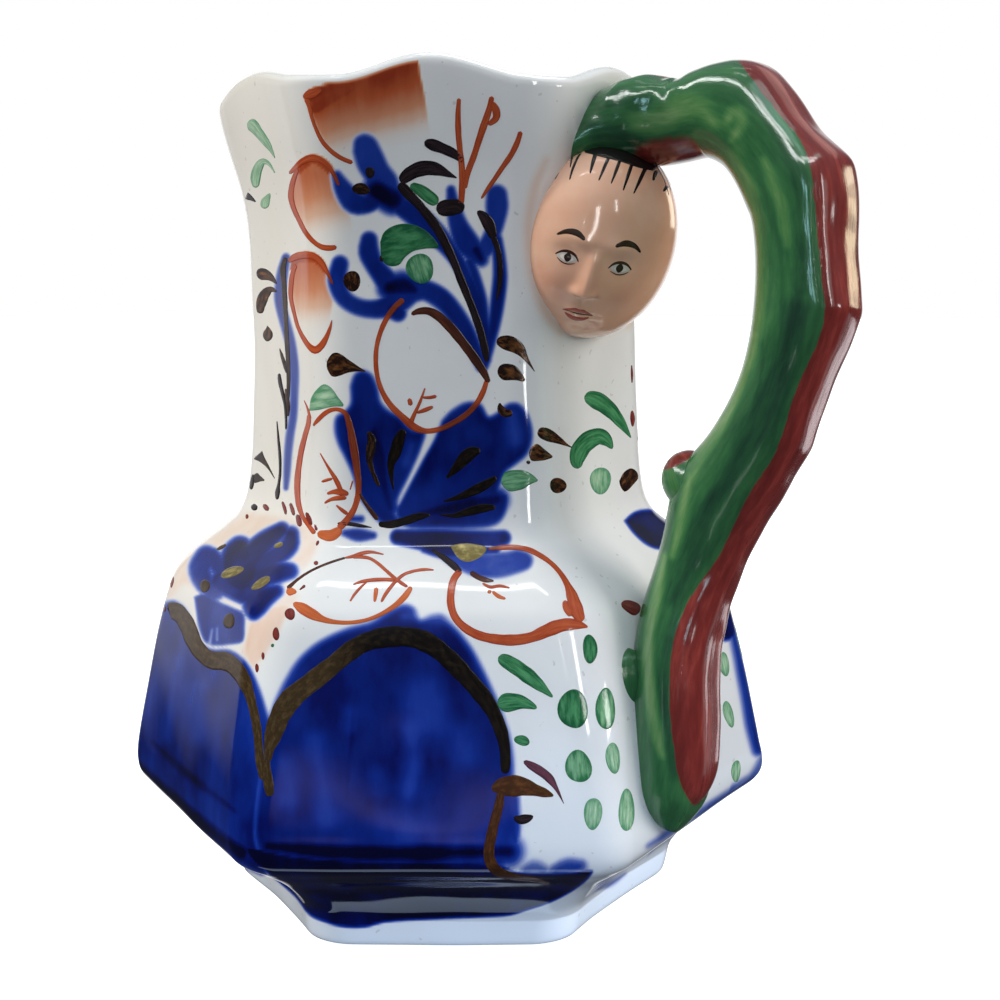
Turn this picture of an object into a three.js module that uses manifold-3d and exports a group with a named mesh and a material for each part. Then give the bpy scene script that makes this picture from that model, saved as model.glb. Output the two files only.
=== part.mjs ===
// Small glazed ironstone jug with six panels: foot ring, floor bat, belly, neck with a
// scalloped rim and pouring lip, a knobbly loop handle with its tail pad and bud, and a
// moulded head mask under the handle. Millimetres, +Z up, the handle towards +X, the lip
// towards -X, the jug standing on z = 0. The pieces are the ones a potter makes apart and
// sticks together with slip before firing; LUTE is the thin slip joint between them.
import * as THREE from 'three';
import { mergeVertices } from 'three/addons/utils/BufferGeometryUtils.js';
import Module from 'manifold-3d';

// ---------------------------------------------------------------- driving dimensions
const AXIS_X = -12.5;        // body axis, so that the box of the whole jug is centred on the origin
const LUTE = 0.3;            // slip joint between neighbouring pieces
const FOOT_H = 4.6;          // height of the foot ring
const FOOT_INNER = 29.9;     // half width across flats inside the foot ring
const BAT_Z0 = 2.0;          // underside of the floor bat (recessed above the table)
const BAT_Z1 = 6.5;          // top of the floor bat
const BAT_HALF = 29.5;       // half width across flats of the floor bat
const BELLY_TOP = 65.5;      // belly and shoulder end here, the neck begins
const RIM_NOMINAL = 136.0;   // height that the neck profile is drawn to before scalloping
const FLARE_FROM = 105.0;    // the scalloping fades in above this height
const LIP_REACH = 9.0;       // how far the pouring lip leans out
const LIP_FROM = 108.0;      // height where the lip begins to lean
const FLAT_SHARE = 0.78;     // share of a panel's half width that is flat, the rest is its rounded edge
const FLAT_STEPS = 4;        // facets across the flat of a panel
const EDGE_STEPS = 2;        // facets in each half of a rounded edge

// outer profile: height, half width across flats, radius of the rounded edges
const OUTER = [
  [0.0, 33.5, 8.6], [0.8, 34.0, 8.8], [3.9, 34.6, 8.8], [4.7, 34.7, 8.6], [6.2, 35.2, 8], [11.0, 39.7, 7.2],
  [15.1, 45.0, 7.5], [17.6, 48.0, 7.5], [19.2, 49.1, 7.5], [21.4, 49.4, 8], [24, 49.1, 8], [32.8, 47.7, 9],
  [43, 45.8, 10], [50, 44.3, 10.5], [53.6, 43.4, 11], [56.0, 42.4, 11.5], [57.8, 41.0, 11.5], [60.6, 38.2, 11],
  [63.6, 34.6, 10], [65.2, 32.9, 9.5], [66.4, 32.1, 9], [68.5, 31.3, 9], [74, 30.5, 9], [86, 29.9, 9],
  [100, 29.6, 9], [110, 29.6, 9], [117, 30.2, 9], [122, 31.1, 9.5], [127.5, 32.4, 10], [132, 33.4, 10.5],
  [136.0, 34.0, 11],
];
// inner profile of the hollow, from the floor up to the rim
const INNER = [
  [4.9, 29.8, 4], [7.0, 30.3, 4], [12, 36.5, 4], [19, 44.0, 5], [24, 45.2, 5.5], [35, 43.2, 6], [48, 40.6, 7],
  [54, 38.8, 7.5], [58, 35.5, 8], [62, 30.6, 7], [65.5, 28.0, 6.5], [69, 27.4, 6], [80, 26.6, 6], [100, 26.2, 6],
  [110, 26.3, 6], [120, 27.6, 6.5], [128, 29.6, 7], [133.6, 30.9, 8],
];
// scalloped rim: panel direction -> [height of the dip before it, of its lobe, of the dip after it]
const RIM = {
  0: [135.5, 137.2, 135.5],
  60: [135.5, 139.0, 135.3],
  120: [135.3, 136.8, 132.8],
  180: [132.8, 137.6, 132.8],
  240: [132.8, 136.8, 135.3],
  300: [135.3, 139.0, 135.5],
};
// handle: centre of each station [x from the body axis, y, z], its radius and its half width sideways
const HANDLE = [
  [25.0, -1.0, 127.6, 7.0, 13.0], [31.0, -0.8, 128.9, 7.0, 12.2], [38.9, -0.4, 130.0, 6.9, 8.8], [45.1, -0.3, 129.7, 6.8, 7.2],
  [51.0, -0.3, 130.2, 7.4, 7.4], [56.8, -0.4, 127.8, 8.1, 8.0], [61.6, -0.7, 122.6, 8.2, 8.1], [64.6, -1.1, 117.4, 8.3, 8.3],
  [65.7, -1.6, 111.0, 8.1, 8.0], [66.3, -2.2, 103.9, 8.1, 8.0], [66.0, -2.9, 97.6, 8.1, 8.0], [64.4, -3.5, 91.2, 7.6, 7.5],
  [62.0, -4.3, 84.6, 7.6, 7.6], [58.8, -5.2, 78.2, 7.5, 7.5], [55.9, -6.0, 73.0, 7.1, 7.1], [53.4, -6.8, 67.3, 7.0, 7.0],
  [51.4, -7.6, 61.4, 6.7, 6.6], [49.8, -8.4, 54.7, 6.5, 6.6], [49.0, -9.0, 47.4, 6.7, 7.2], [49.2, -9.2, 38.5, 6.7, 7.4],
  [49.4, -9.2, 31.0, 6.6, 7.4], [49.2, -9.2, 26.0, 6.0, 6.9], [48.9, -9.2, 22.4, 4.6, 5.4],
];
const HANDLE_SIDES = 12;
const HANDLE_STEPS = 40;
const MASK = { x: 32.4, y: -2.2, z: 111.4, half: [10.4, 15.0, 16.6], lean: 15 };  // depth, width, height; degrees
const BUD = { x: 48.6, y: -5.6, z: 74.6, half: [4.4, 4.2, 4.8] };
const PAD = { x: 45.8, y: -16.6, z: 41.5, half: [3.2, 4.6, 7.5] };

// ---------------------------------------------------------------- helpers
const wasm = await Module();
wasm.setup();

const smooth = (t) => { const k = Math.min(1, Math.max(0, t)); return k * k * (3 - 2 * k); };
const panelU = [];
for (let i = 0; i < EDGE_STEPS; i++) panelU.push(-1 + (1 - FLAT_SHARE) * (i / EDGE_STEPS));
for (let i = 0; i < FLAT_STEPS; i++) panelU.push(FLAT_SHARE * (-1 + (2 * i) / FLAT_STEPS));
for (let i = 0; i < EDGE_STEPS; i++) panelU.push(FLAT_SHARE + (1 - FLAT_SHARE) * (i / EDGE_STEPS));

function rimHeight(panel, u) {
  const [d0, p, d1] = RIM[panel];
  const c = Math.cos((Math.PI * u) / 2);
  return d0 + ((d1 - d0) * (u + 1)) / 2 + (p - (d0 + d1) / 2) * c * c;
}

// one closed ring of points at a height of the six-sided section
function ring(z, half, edge, grow = 0, drop = 0) {
  const a = half + grow;
  const r = Math.max(0.6, edge + grow);
  const flat = (a - r) * Math.tan(Math.PI / 6);
  const pts = [];
  for (let k = 0; k < 6; k++) {
    const deg = 60 * k;
    const t = THREE.MathUtils.degToRad(deg);
    for (const u of panelU) {
      const au = Math.abs(u);
      const psi = (Math.PI / 6) * Math.max(0, (au - FLAT_SHARE) / (1 - FLAT_SHARE));
      let n = a;
      let s = flat * (au / FLAT_SHARE) * Math.sign(u);
      if (au > FLAT_SHARE) {
        n = a - r + r * Math.cos(psi);
        s = (flat + r * Math.sin(psi)) * Math.sign(u);
      }
      const fade = smooth((z - FLARE_FROM) / (RIM_NOMINAL - FLARE_FROM));
      const zz = z + (rimHeight(deg, u) - RIM_NOMINAL) * fade - drop;
      if (deg === 180) {
        const lean = smooth((z - LIP_FROM) / (RIM_NOMINAL - LIP_FROM));
        n += LIP_REACH * lean * lean * (1 - u * u) ** 1.3;
      }
      pts.push(new THREE.Vector3(AXIS_X + n * Math.cos(t) - s * Math.sin(t), n * Math.sin(t) + s * Math.cos(t), zz));
    }
  }
  return pts;
}

function at(profile, z) {
  for (let i = 1; i < profile.length; i++) {
    if (z <= profile[i][0] + 1e-9) {
      const [z0, a0, r0] = profile[i - 1];
      const [z1, a1, r1] = profile[i];
      const k = (z - z0) / (z1 - z0);
      return [z, a0 + (a1 - a0) * k, r0 + (r1 - r0) * k];
    }
  }
  return profile[profile.length - 1];
}

// a skin over rings of equal length: closed round (a hollow wall) or with its two ends capped
function skin(rings, capped) {
  const n = rings[0].length;
  const pos = [];
  const idx = [];
  for (const r of rings) for (const p of r) pos.push(p.x, p.y, p.z);
  const m = rings.length;
  const last = capped ? m - 1 : m;
  for (let j = 0; j < last; j++) {
    const a = j * n;
    const b = ((j + 1) % m) * n;
    for (let i = 0; i < n; i++) {
      const i1 = (i + 1) % n;
      idx.push(a + i, a + i1, b + i1, a + i, b + i1, b + i);
    }
  }
  if (capped) {
    const centre = (r) => r.reduce((s, p) => s.add(p), new THREE.Vector3()).multiplyScalar(1 / r.length);
    const c0 = centre(rings[0]);
    const c1 = centre(rings[m - 1]);
    const i0 = pos.length / 3;
    pos.push(c0.x, c0.y, c0.z, c1.x, c1.y, c1.z);
    const top = (m - 1) * n;
    for (let i = 0; i < n; i++) {
      const i1 = (i + 1) % n;
      idx.push(i0, i1, i, i0 + 1, top + i, top + i1);
    }
  }
  const g = new THREE.BufferGeometry();
  g.setAttribute('position', new THREE.Float32BufferAttribute(pos, 3));
  g.setIndex(idx);
  return g;
}

function toManifold(geometry) {
  const g = geometry.clone();
  g.deleteAttribute('normal');
  g.deleteAttribute('uv');
  const w = mergeVertices(g, 1e-4);
  return new wasm.Manifold(new wasm.Mesh({
    numProp: 3,
    vertProperties: new Float32Array(w.attributes.position.array),
    triVerts: new Uint32Array(w.index.array),
  }));
}

function toGeometry(manifold) {
  const mesh = manifold.getMesh();
  const pos = new Float32Array((mesh.vertProperties.length / mesh.numProp) * 3);
  for (let i = 0; i < pos.length / 3; i++) {
    for (let k = 0; k < 3; k++) pos[3 * i + k] = mesh.vertProperties[i * mesh.numProp + k];
  }
  const g = new THREE.BufferGeometry();
  g.setAttribute('position', new THREE.BufferAttribute(pos, 3));
  g.setIndex([...mesh.triVerts]);
  return g;
}

// ---------------------------------------------------------------- body pieces
function wall(outer, inner) {
  return skin([...outer, ...inner.slice().reverse()], false);
}

const footOuter = [at(OUTER, 0), at(OUTER, 0.8), at(OUTER, 3.9), [FOOT_H, 34.7, 8.6]].map((p) => ring(...p));
const footInner = [[0, FOOT_INNER + 0.5, 4], [0.8, FOOT_INNER, 4], [FOOT_H, FOOT_INNER, 4]].map((p) => ring(...p));
const footGeometry = wall(footOuter, footInner);

const batGeometry = skin([
  ring(BAT_Z0, BAT_HALF - 0.5, 3.5), ring(BAT_Z0 + 0.5, BAT_HALF, 4), ring(BAT_Z1, BAT_HALF, 4),
], true);

const bellyZ = [4.9, 6.2, 11, 15.1, 17.6, 19.2, 21.4, 24, 32.8, 43, 50, 53.6, 56, 57.8, 60.6, 63.6, BELLY_TOP];
const bellyOuter = bellyZ.map((z) => ring(...at(OUTER, z)));
const bellyInner = INNER.filter((p) => p[0] <= BELLY_TOP).map((p) => ring(...p));
const bellyGeometry = wall(bellyOuter, bellyInner);

const NECK_Z0 = BELLY_TOP + LUTE;
const neckZ = [NECK_Z0, 66.4, 68.5, 74, 86, 100, 110, 117, 122, 127.5, 132, 134.9];
const neckOuter = neckZ.map((z) => ring(...at(OUTER, z)));
const rimRings = [ring(RIM_NOMINAL, 33.6, 10.7, 0, 0.25), ring(RIM_NOMINAL, 32.7, 10), ring(RIM_NOMINAL, 31.8, 9.2, 0, 0.3)];
const neckInner = [[NECK_Z0, 28.0, 6.5], ...INNER.filter((p) => p[0] > NECK_Z0)].map((p) => ring(...p));
const neckGeometry = wall([...neckOuter, ...rimRings], neckInner);

// the filled outer shape, grown by the slip joint, that applied pieces are cut back to
const envelope = toManifold(skin([0, 4.7, 11, 17.6, 19.2, 21.4, 24, 32.8, 43, 50, 53.6, 56, 57.8, 60.6, 63.6, 66.4, 68.5, 74, 86,
  100, 110, 117, 122, 127.5, 132, 136].map((z) => { const [h, a, r] = at(OUTER, z); return ring(h, a, r, LUTE); }), true));

// ---------------------------------------------------------------- handle
const spine = new THREE.CatmullRomCurve3(HANDLE.map((h) => new THREE.Vector3(h[0] + AXIS_X, h[1], h[2])), false, 'centripetal');
function handleSkin(grow) {
  const rings = [];
  for (let j = 0; j <= HANDLE_STEPS; j++) {
    const t = j / HANDLE_STEPS;
    const p = spine.getPoint(t);
    const tan = spine.getTangent(t);
    const f = t * (HANDLE.length - 1);
    const i = Math.min(HANDLE.length - 2, Math.floor(f));
    const r = HANDLE[i][3] + (HANDLE[i + 1][3] - HANDLE[i][3]) * (f - i) + grow;
    const w = HANDLE[i][4] + (HANDLE[i + 1][4] - HANDLE[i][4]) * (f - i) + grow;
    const side = new THREE.Vector3(0, 1, 0).addScaledVector(tan, -tan.y).normalize();
    const back = new THREE.Vector3().crossVectors(side, tan).normalize();
    const pts = [];
    for (let k = 0; k < HANDLE_SIDES; k++) {
      const turn = (2 * Math.PI * k) / HANDLE_SIDES;
      pts.push(p.clone().addScaledVector(side, w * Math.cos(turn)).addScaledVector(back, r * Math.sin(turn)));
    }
    rings.push(pts);
  }
  const g = skin(rings, true);
  const m = toManifold(g);
  if (m.volume() > 0) return m;
  const idx = [...g.index.array];
  for (let i = 0; i < idx.length; i += 3) [idx[i + 1], idx[i + 2]] = [idx[i + 2], idx[i + 1]];
  g.setIndex(idx);
  return toManifold(g);
}
const handleSolid = handleSkin(0).subtract(envelope);
const handleGrown = handleSkin(LUTE);

function egg({ x, y, z, half, lean = 0 }, across, up) {
  const g = new THREE.SphereGeometry(1, across, up);
  g.rotateX(Math.PI / 2);
  g.scale(half[0], half[1], half[2]);
  g.rotateY(THREE.MathUtils.degToRad(lean));
  g.translate(x + AXIS_X, y, z);
  return toManifold(g);
}
const maskSolid = egg(MASK, 24, 16).subtract(envelope).subtract(handleGrown);
const budSolid = egg(BUD, 16, 10).subtract(handleGrown).subtract(envelope);
const padSolid = egg(PAD, 16, 10).subtract(envelope).subtract(handleGrown);

// ---------------------------------------------------------------- assembly
const glaze = new THREE.MeshStandardMaterial({ color: 0xf0eee9, roughness: 0.12, metalness: 0 });
const blue = new THREE.MeshStandardMaterial({ color: 0x1b2a86, roughness: 0.12, metalness: 0 });
const green = new THREE.MeshStandardMaterial({ color: 0x2b7a48, roughness: 0.18, metalness: 0 });
const flesh = new THREE.MeshStandardMaterial({ color: 0xc99a80, roughness: 0.18, metalness: 0 });

const jug = new THREE.Group();
function add(name, geometry, material) {
  const mesh = new THREE.Mesh(geometry, material);
  mesh.name = name;
  jug.add(mesh);
}
add('foot_ring', footGeometry, glaze);
add('floor_bat', batGeometry, glaze);
add('belly', bellyGeometry, blue);
add('neck', neckGeometry, glaze);
add('handle_loop', toGeometry(handleSolid), green);
add('handle_bud', toGeometry(budSolid), green);
add('handle_tail_pad', toGeometry(padSolid), green);
add('head_mask', toGeometry(maskSolid), flesh);

export default jug;
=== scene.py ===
import math
import bpy
import bmesh
import numpy as np
from mathutils import Matrix, Vector
from mathutils.bvhtree import BVHTree


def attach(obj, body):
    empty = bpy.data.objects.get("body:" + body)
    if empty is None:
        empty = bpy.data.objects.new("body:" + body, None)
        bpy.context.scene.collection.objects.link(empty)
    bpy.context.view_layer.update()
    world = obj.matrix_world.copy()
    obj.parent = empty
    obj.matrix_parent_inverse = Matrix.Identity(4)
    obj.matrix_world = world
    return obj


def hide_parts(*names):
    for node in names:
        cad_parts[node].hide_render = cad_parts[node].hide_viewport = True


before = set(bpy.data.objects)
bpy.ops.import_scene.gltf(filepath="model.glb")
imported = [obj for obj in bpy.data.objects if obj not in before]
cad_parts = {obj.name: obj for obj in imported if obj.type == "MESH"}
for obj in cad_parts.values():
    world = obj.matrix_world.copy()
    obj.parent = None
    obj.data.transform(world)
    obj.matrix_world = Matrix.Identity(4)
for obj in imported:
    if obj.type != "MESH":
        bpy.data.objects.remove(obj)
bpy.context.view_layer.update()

MM = 0.001
RNG = np.random.default_rng(20260)

# ---------------------------------------------------------------- the form
# Millimetres, row frame: +Z up, handle towards +X, pouring lip towards -X.
AXIS_X = -12.5

OUTER = [[0.0, 33.5, 8.6], [0.8, 34.0, 8.8], [3.9, 34.6, 8.8], [4.7, 34.7, 8.6], [6.2, 35.2, 8.0], [11.0, 39.2, 7.2],
         [15.1, 44.6, 7.5], [17.6, 48.0, 7.5], [19.2, 49.1, 7.5], [21.4, 49.4, 8.0], [24.0, 49.1, 8.0], [32.8, 47.7, 9.0],
         [43.0, 45.8, 10.0], [50.0, 44.3, 10.5], [53.6, 43.4, 11.0], [56.0, 42.4, 11.5], [57.8, 41.0, 11.5], [60.6, 38.2, 11.0],
         [63.6, 34.6, 10.0], [65.2, 32.9, 9.5], [66.4, 32.1, 9.0], [68.5, 31.3, 9.0], [74.0, 30.5, 9.0], [86.0, 29.9, 9.0],
         [100.0, 29.6, 9.0], [110.0, 29.6, 9.0], [117.0, 30.2, 9.0], [122.0, 31.1, 9.5], [127.5, 32.4, 10.0], [132.0, 33.4, 10.5],
         [134.3, 33.8, 10.8]]
INNER = [[4.9, 29.8, 4.0], [7.0, 30.3, 4.0], [12.0, 36.5, 4.0], [19.0, 44.0, 5.0], [24.0, 45.2, 5.5], [35.0, 43.2, 6.0],
         [48.0, 40.6, 7.0], [54.0, 38.8, 7.5], [58.0, 35.5, 8.0], [62.0, 30.6, 7.0], [65.5, 28.0, 6.5], [69.0, 27.4, 6.0],
         [80.0, 26.6, 6.0], [100.0, 26.2, 6.0], [110.0, 26.3, 6.0], [120.0, 27.6, 6.5], [128.0, 29.6, 7.0], [132.6, 30.7, 7.8]]
RIM = {0: (135.5, 138.5, 135.5), 60: (135.5, 139.0, 135.3), 120: (135.3, 138.4, 134.2),
       180: (134.2, 137.6, 134.2), 240: (134.2, 138.4, 135.3), 300: (135.3, 139.0, 135.5)}
HANDLE = np.array([
    [25.0, -0.4, 127.6, 7.0, 10.8], [31.0, -0.4, 128.9, 7.0, 10.4], [38.9, -0.4, 130.0, 6.9, 8.5], [45.1, -0.3, 129.7, 6.8, 7.2],
    [51.0, -0.3, 130.2, 7.4, 7.4], [56.8, -0.4, 127.8, 8.1, 8.0], [61.6, -0.7, 122.6, 8.2, 8.1], [64.6, -1.1, 117.4, 8.3, 8.3],
    [65.7, -1.6, 111.0, 8.1, 8.0], [66.3, -2.2, 103.9, 8.1, 8.0], [66.0, -2.9, 97.6, 8.1, 8.0], [64.4, -3.5, 91.2, 7.6, 7.5],
    [62.0, -4.3, 84.6, 7.6, 7.6], [58.8, -5.2, 78.2, 7.5, 7.5], [55.9, -6.0, 73.0, 7.1, 7.1], [53.4, -6.8, 67.3, 7.0, 7.0],
    [51.4, -7.8, 61.4, 6.7, 6.6], [49.8, -9.3, 54.7, 6.1, 6.4], [49.0, -10.6, 47.4, 6.1, 7.0], [49.1, -11.4, 38.5, 6.2, 7.4],
    [49.2, -11.8, 31.0, 6.1, 7.5], [49.0, -11.9, 26.6, 5.7, 7.3], [48.8, -12.2, 23.8, 4.8, 6.2], [48.6, -12.5, 22.0, 3.6, 4.6],
    [48.3, -12.7, 20.9, 2.0, 2.6]])
JOINT_FOOT = 4.7      # where the foot meets the belly
JOINT_NECK = 65.65    # where the neck meets the shoulder


def smoothstep(t):
    t = np.clip(t, 0.0, 1.0)
    return t * t * (3 - 2 * t)


def catmull(points, per=24):
    """Centripetal curve through points, any dimension."""
    p = np.asarray(points, float)
    ext = np.vstack([2 * p[0] - p[1], p, 2 * p[-1] - p[-2]])
    out = []
    for i in range(1, len(ext) - 2):
        p0, p1, p2, p3 = ext[i - 1], ext[i], ext[i + 1], ext[i + 2]
        t0 = 0.0
        t1 = t0 + max(np.linalg.norm(p1 - p0), 1e-6) ** 0.5
        t2 = t1 + max(np.linalg.norm(p2 - p1), 1e-6) ** 0.5
        t3 = t2 + max(np.linalg.norm(p3 - p2), 1e-6) ** 0.5
        last = i == len(ext) - 3
        t = np.linspace(t1, t2, per + (1 if last else 0), endpoint=last)[:, None]
        a1 = (t1 - t) / (t1 - t0) * p0 + (t - t0) / (t1 - t0) * p1
        a2 = (t2 - t) / (t2 - t1) * p1 + (t - t1) / (t2 - t1) * p2
        a3 = (t3 - t) / (t3 - t2) * p2 + (t - t2) / (t3 - t2) * p3
        b1 = (t2 - t) / (t2 - t0) * a1 + (t - t0) / (t2 - t0) * a2
        b2 = (t3 - t) / (t3 - t1) * a2 + (t - t1) / (t3 - t1) * a3
        out.append((t2 - t) / (t2 - t1) * b1 + (t - t1) / (t2 - t1) * b2)
    return np.vstack(out)


def resample(curve, spacing, dims=2):
    seg = np.linalg.norm(np.diff(curve[:, :dims], axis=0), axis=1)
    s = np.concatenate([[0], np.cumsum(seg)])
    n = max(2, int(round(s[-1] / spacing)) + 1)
    t = np.linspace(0, s[-1], n)
    return np.stack([np.interp(t, s, curve[:, k]) for k in range(curve.shape[1])], -1)


# columns round the body: six panels, each with a flat and two half edges, closer where the painting is finest
def panel_u(flat_n, edge_n):
    return np.concatenate([np.linspace(-1, -0.78, edge_n, endpoint=False),
                           np.linspace(-0.78, 0.78, flat_n, endpoint=False),
                           np.linspace(0.78, 1, edge_n, endpoint=False)])


PANELS = [(0, 58, 12), (60, 28, 9), (120, 28, 9), (180, 28, 9), (240, 70, 14), (300, 84, 14)]
COL_U = np.concatenate([panel_u(f, e) for _, f, e in PANELS])
COL_DEG = np.concatenate([np.full(f + 2 * e, d) for d, f, e in PANELS])
COL_T = np.radians(COL_DEG.astype(float))
NCOL = len(COL_U)
rim_d0 = np.array([RIM[d][0] for d in COL_DEG])
rim_p = np.array([RIM[d][1] for d in COL_DEG])
rim_d1 = np.array([RIM[d][2] for d in COL_DEG])
scallop = np.cos(math.pi * COL_U / 2) ** 2
full = ((COL_DEG == 240) & (COL_U < 0)) | ((COL_DEG == 120) & (COL_U > 0))       # fuller towards the pouring lip
scallop = np.where(full, 1 - np.abs(COL_U) ** 2.6, scallop)
COL_RIM = rim_d0 + (rim_d1 - rim_d0) * (COL_U + 1) / 2 + (rim_p - (rim_d0 + rim_d1) / 2) * scallop
# the notch between the two long scallops lies a little round the corner, mirrored on the far side
NOTCH, NOTCH_U = 136.0, 0.8
for lipward, middle, sg in ((240, 300, 1), (120, 60, -1)):
    u = sg * COL_U
    for deg, span, t, top in ((lipward, u > 0, u / (2 - NOTCH_U), RIM[lipward][1]), (middle, u < -NOTCH_U, (u + 2) / (2 - NOTCH_U), RIM[lipward][1]),
                              (middle, (u >= -NOTCH_U) & (u < 0), -u / NOTCH_U, RIM[middle][1])):
        m = (COL_DEG == deg) & span
        COL_RIM[m] = (NOTCH + (top - NOTCH) * np.cos(math.pi * t / 2) ** 2)[m]
SPOUT = (COL_DEG == 180)


def body_points(rows):
    """rows: (R,3) z, half across flats, edge radius -> (R,NCOL,3) mm."""
    z, a, rc = (rows[:, k][:, None] for k in range(3))
    au = np.abs(COL_U)[None, :]
    flat = (a - rc) * math.tan(math.radians(30))
    psi = math.radians(30) * np.clip((au - 0.78) / 0.22, 0, 1)
    on = au <= 0.78
    n = np.where(on, a, a - rc + rc * np.cos(psi))
    s = np.where(on, flat * COL_U[None, :] / 0.78, np.sign(COL_U)[None, :] * (flat + rc * np.sin(psi)))
    w = smoothstep((z - 105.0) / 31.0)
    zz = z + (COL_RIM[None, :] - 136.0) * w
    lean = smoothstep((z - 108.0) / 28.0)
    n = n + np.where(SPOUT[None, :], 9.0 * lean ** 2 * (1 - COL_U[None, :] ** 2) ** 1.3, 0.0)
    # slight hand-pressed unevenness
    th = COL_T[None, :] + np.arctan2(s, n)
    n = n + 0.13 * np.sin(3 * th + 0.09 * z + 0.7) * np.sin(0.11 * z + 1.1) + 0.09 * np.sin(7 * th - 0.17 * z) \
        + 0.05 * np.sin(13 * th + 0.31 * z + 2.0)
    # the foot is not quite true and the levels sit a little off one another
    n = n + 0.8 * (1 - smoothstep((z - 6.0) / 8.0)) * np.cos(3 * (th + math.pi / 3))
    slip = np.interp(z, [0, 6, 15, 19, 24, 50, 58, 66, 80, 139], [0.2, 0.45, 0.35, -0.1, -0.4, -0.45, -0.35, -0.15, -0.12, -0.1])
    x = AXIS_X + n * np.cos(COL_T) - s * np.sin(COL_T) + 0.851 * slip
    y = n * np.sin(COL_T) + s * np.cos(COL_T) + 0.525 * slip
    return np.stack([x, y, np.broadcast_to(zz, x.shape)], -1)


prof_out = catmull(OUTER, 24)
prof_in = catmull(INNER, 16)


def cut(curve, z0, z1):
    lo = np.array([np.interp(z0, curve[:, 0], curve[:, k]) for k in range(3)])
    hi = np.array([np.interp(z1, curve[:, 0], curve[:, k]) for k in range(3)])
    mid = curve[(curve[:, 0] > z0 + 1e-6) & (curve[:, 0] < z1 - 1e-6)]
    return np.vstack([lo, mid, hi])


foot_rows = np.array([[4.6, 29.9, 8.0], [2.5, 29.95, 8.0], [1.0, 30.15, 8.0], [0.35, 30.5, 8.1], [0.06, 31.1, 8.2], [0.0, 31.9, 8.3],
                      [0.0, 32.6, 8.4], [0.1, 33.2, 8.5], [0.35, 33.65, 8.6]])
foot_out = resample(cut(prof_out, 0.8, JOINT_FOOT), 0.5)
foot_rows = np.vstack([foot_rows, foot_out])
belly_out = resample(cut(prof_out, JOINT_FOOT, JOINT_NECK), 0.40)
neck_out = resample(cut(prof_out, JOINT_NECK, 134.3), 0.38)
ang = np.linspace(0, math.pi, 13)[1:-1]
rim_arc = np.stack([134.5 + 1.5 * np.sin(ang), 32.3 + 1.55 * np.cos(ang), 10.6 - 0.9 * ang], -1)
neck_in = resample(cut(prof_in, JOINT_NECK, 132.6), 2.6)[::-1]
belly_in = resample(cut(prof_in, 5.2, JOINT_NECK), 3.0)[::-1]

stack = np.vstack([foot_rows, belly_out[1:], neck_out[1:], rim_arc, neck_in, belly_in[1:]])
P = body_points(stack)
dcol = np.roll(P, -1, 1) - np.roll(P, 1, 1)
drow = np.gradient(P, axis=0)
NRM = np.cross(dcol, drow)
NRM /= np.maximum(np.linalg.norm(NRM, axis=2, keepdims=True), 1e-9)
nF, nB, nN = len(foot_rows), len(belly_out) - 1, len(neck_out) - 1
nR, nNi = len(rim_arc), len(neck_in)
FOOT = (0, nF)                                  # half-open row ranges, seam rows shared
BELLY_O = (nF - 1, nF + nB)
NECK = (nF + nB - 1, nF + nB + nN + nR + nNi)
BELLY_I = (NECK[1] - 1, len(stack))
OUT_ROWS = (len(foot_rows) - len(foot_out), nF + nB + nN)

# ---------------------------------------------------------------- the view the paint is laid out in
AL, DIST, CAM_Z = math.radians(-56.39), 277.2, 106.96
YAW, PITCH, ROLL, FOCAL = math.radians(-1.94), math.radians(8.19), math.radians(-0.5), 1600.0
EYE = np.array([AXIS_X + DIST * math.cos(AL), DIST * math.sin(AL), CAM_Z])
FWD = np.array([-math.cos(AL + YAW) * math.cos(PITCH), -math.sin(AL + YAW) * math.cos(PITCH), -math.sin(PITCH)])
_r = np.cross(FWD, [0, 0, 1.0])
_r /= np.linalg.norm(_r)
_u = np.cross(_r, FWD)
RIGHT = _r * math.cos(ROLL) + _u * math.sin(ROLL)
UP = -_r * math.sin(ROLL) + _u * math.cos(ROLL)


def project(points):
    d = np.asarray(points, float) - EYE
    depth = d @ FWD
    return np.stack([500 + FOCAL * (d @ RIGHT) / depth, 500 - FOCAL * (d @ UP) / depth], -1)


def ray_dir(px, py):
    d = FWD * FOCAL + RIGHT * (px - 500) + UP * (500 - py)
    return d / np.linalg.norm(d)


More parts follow.
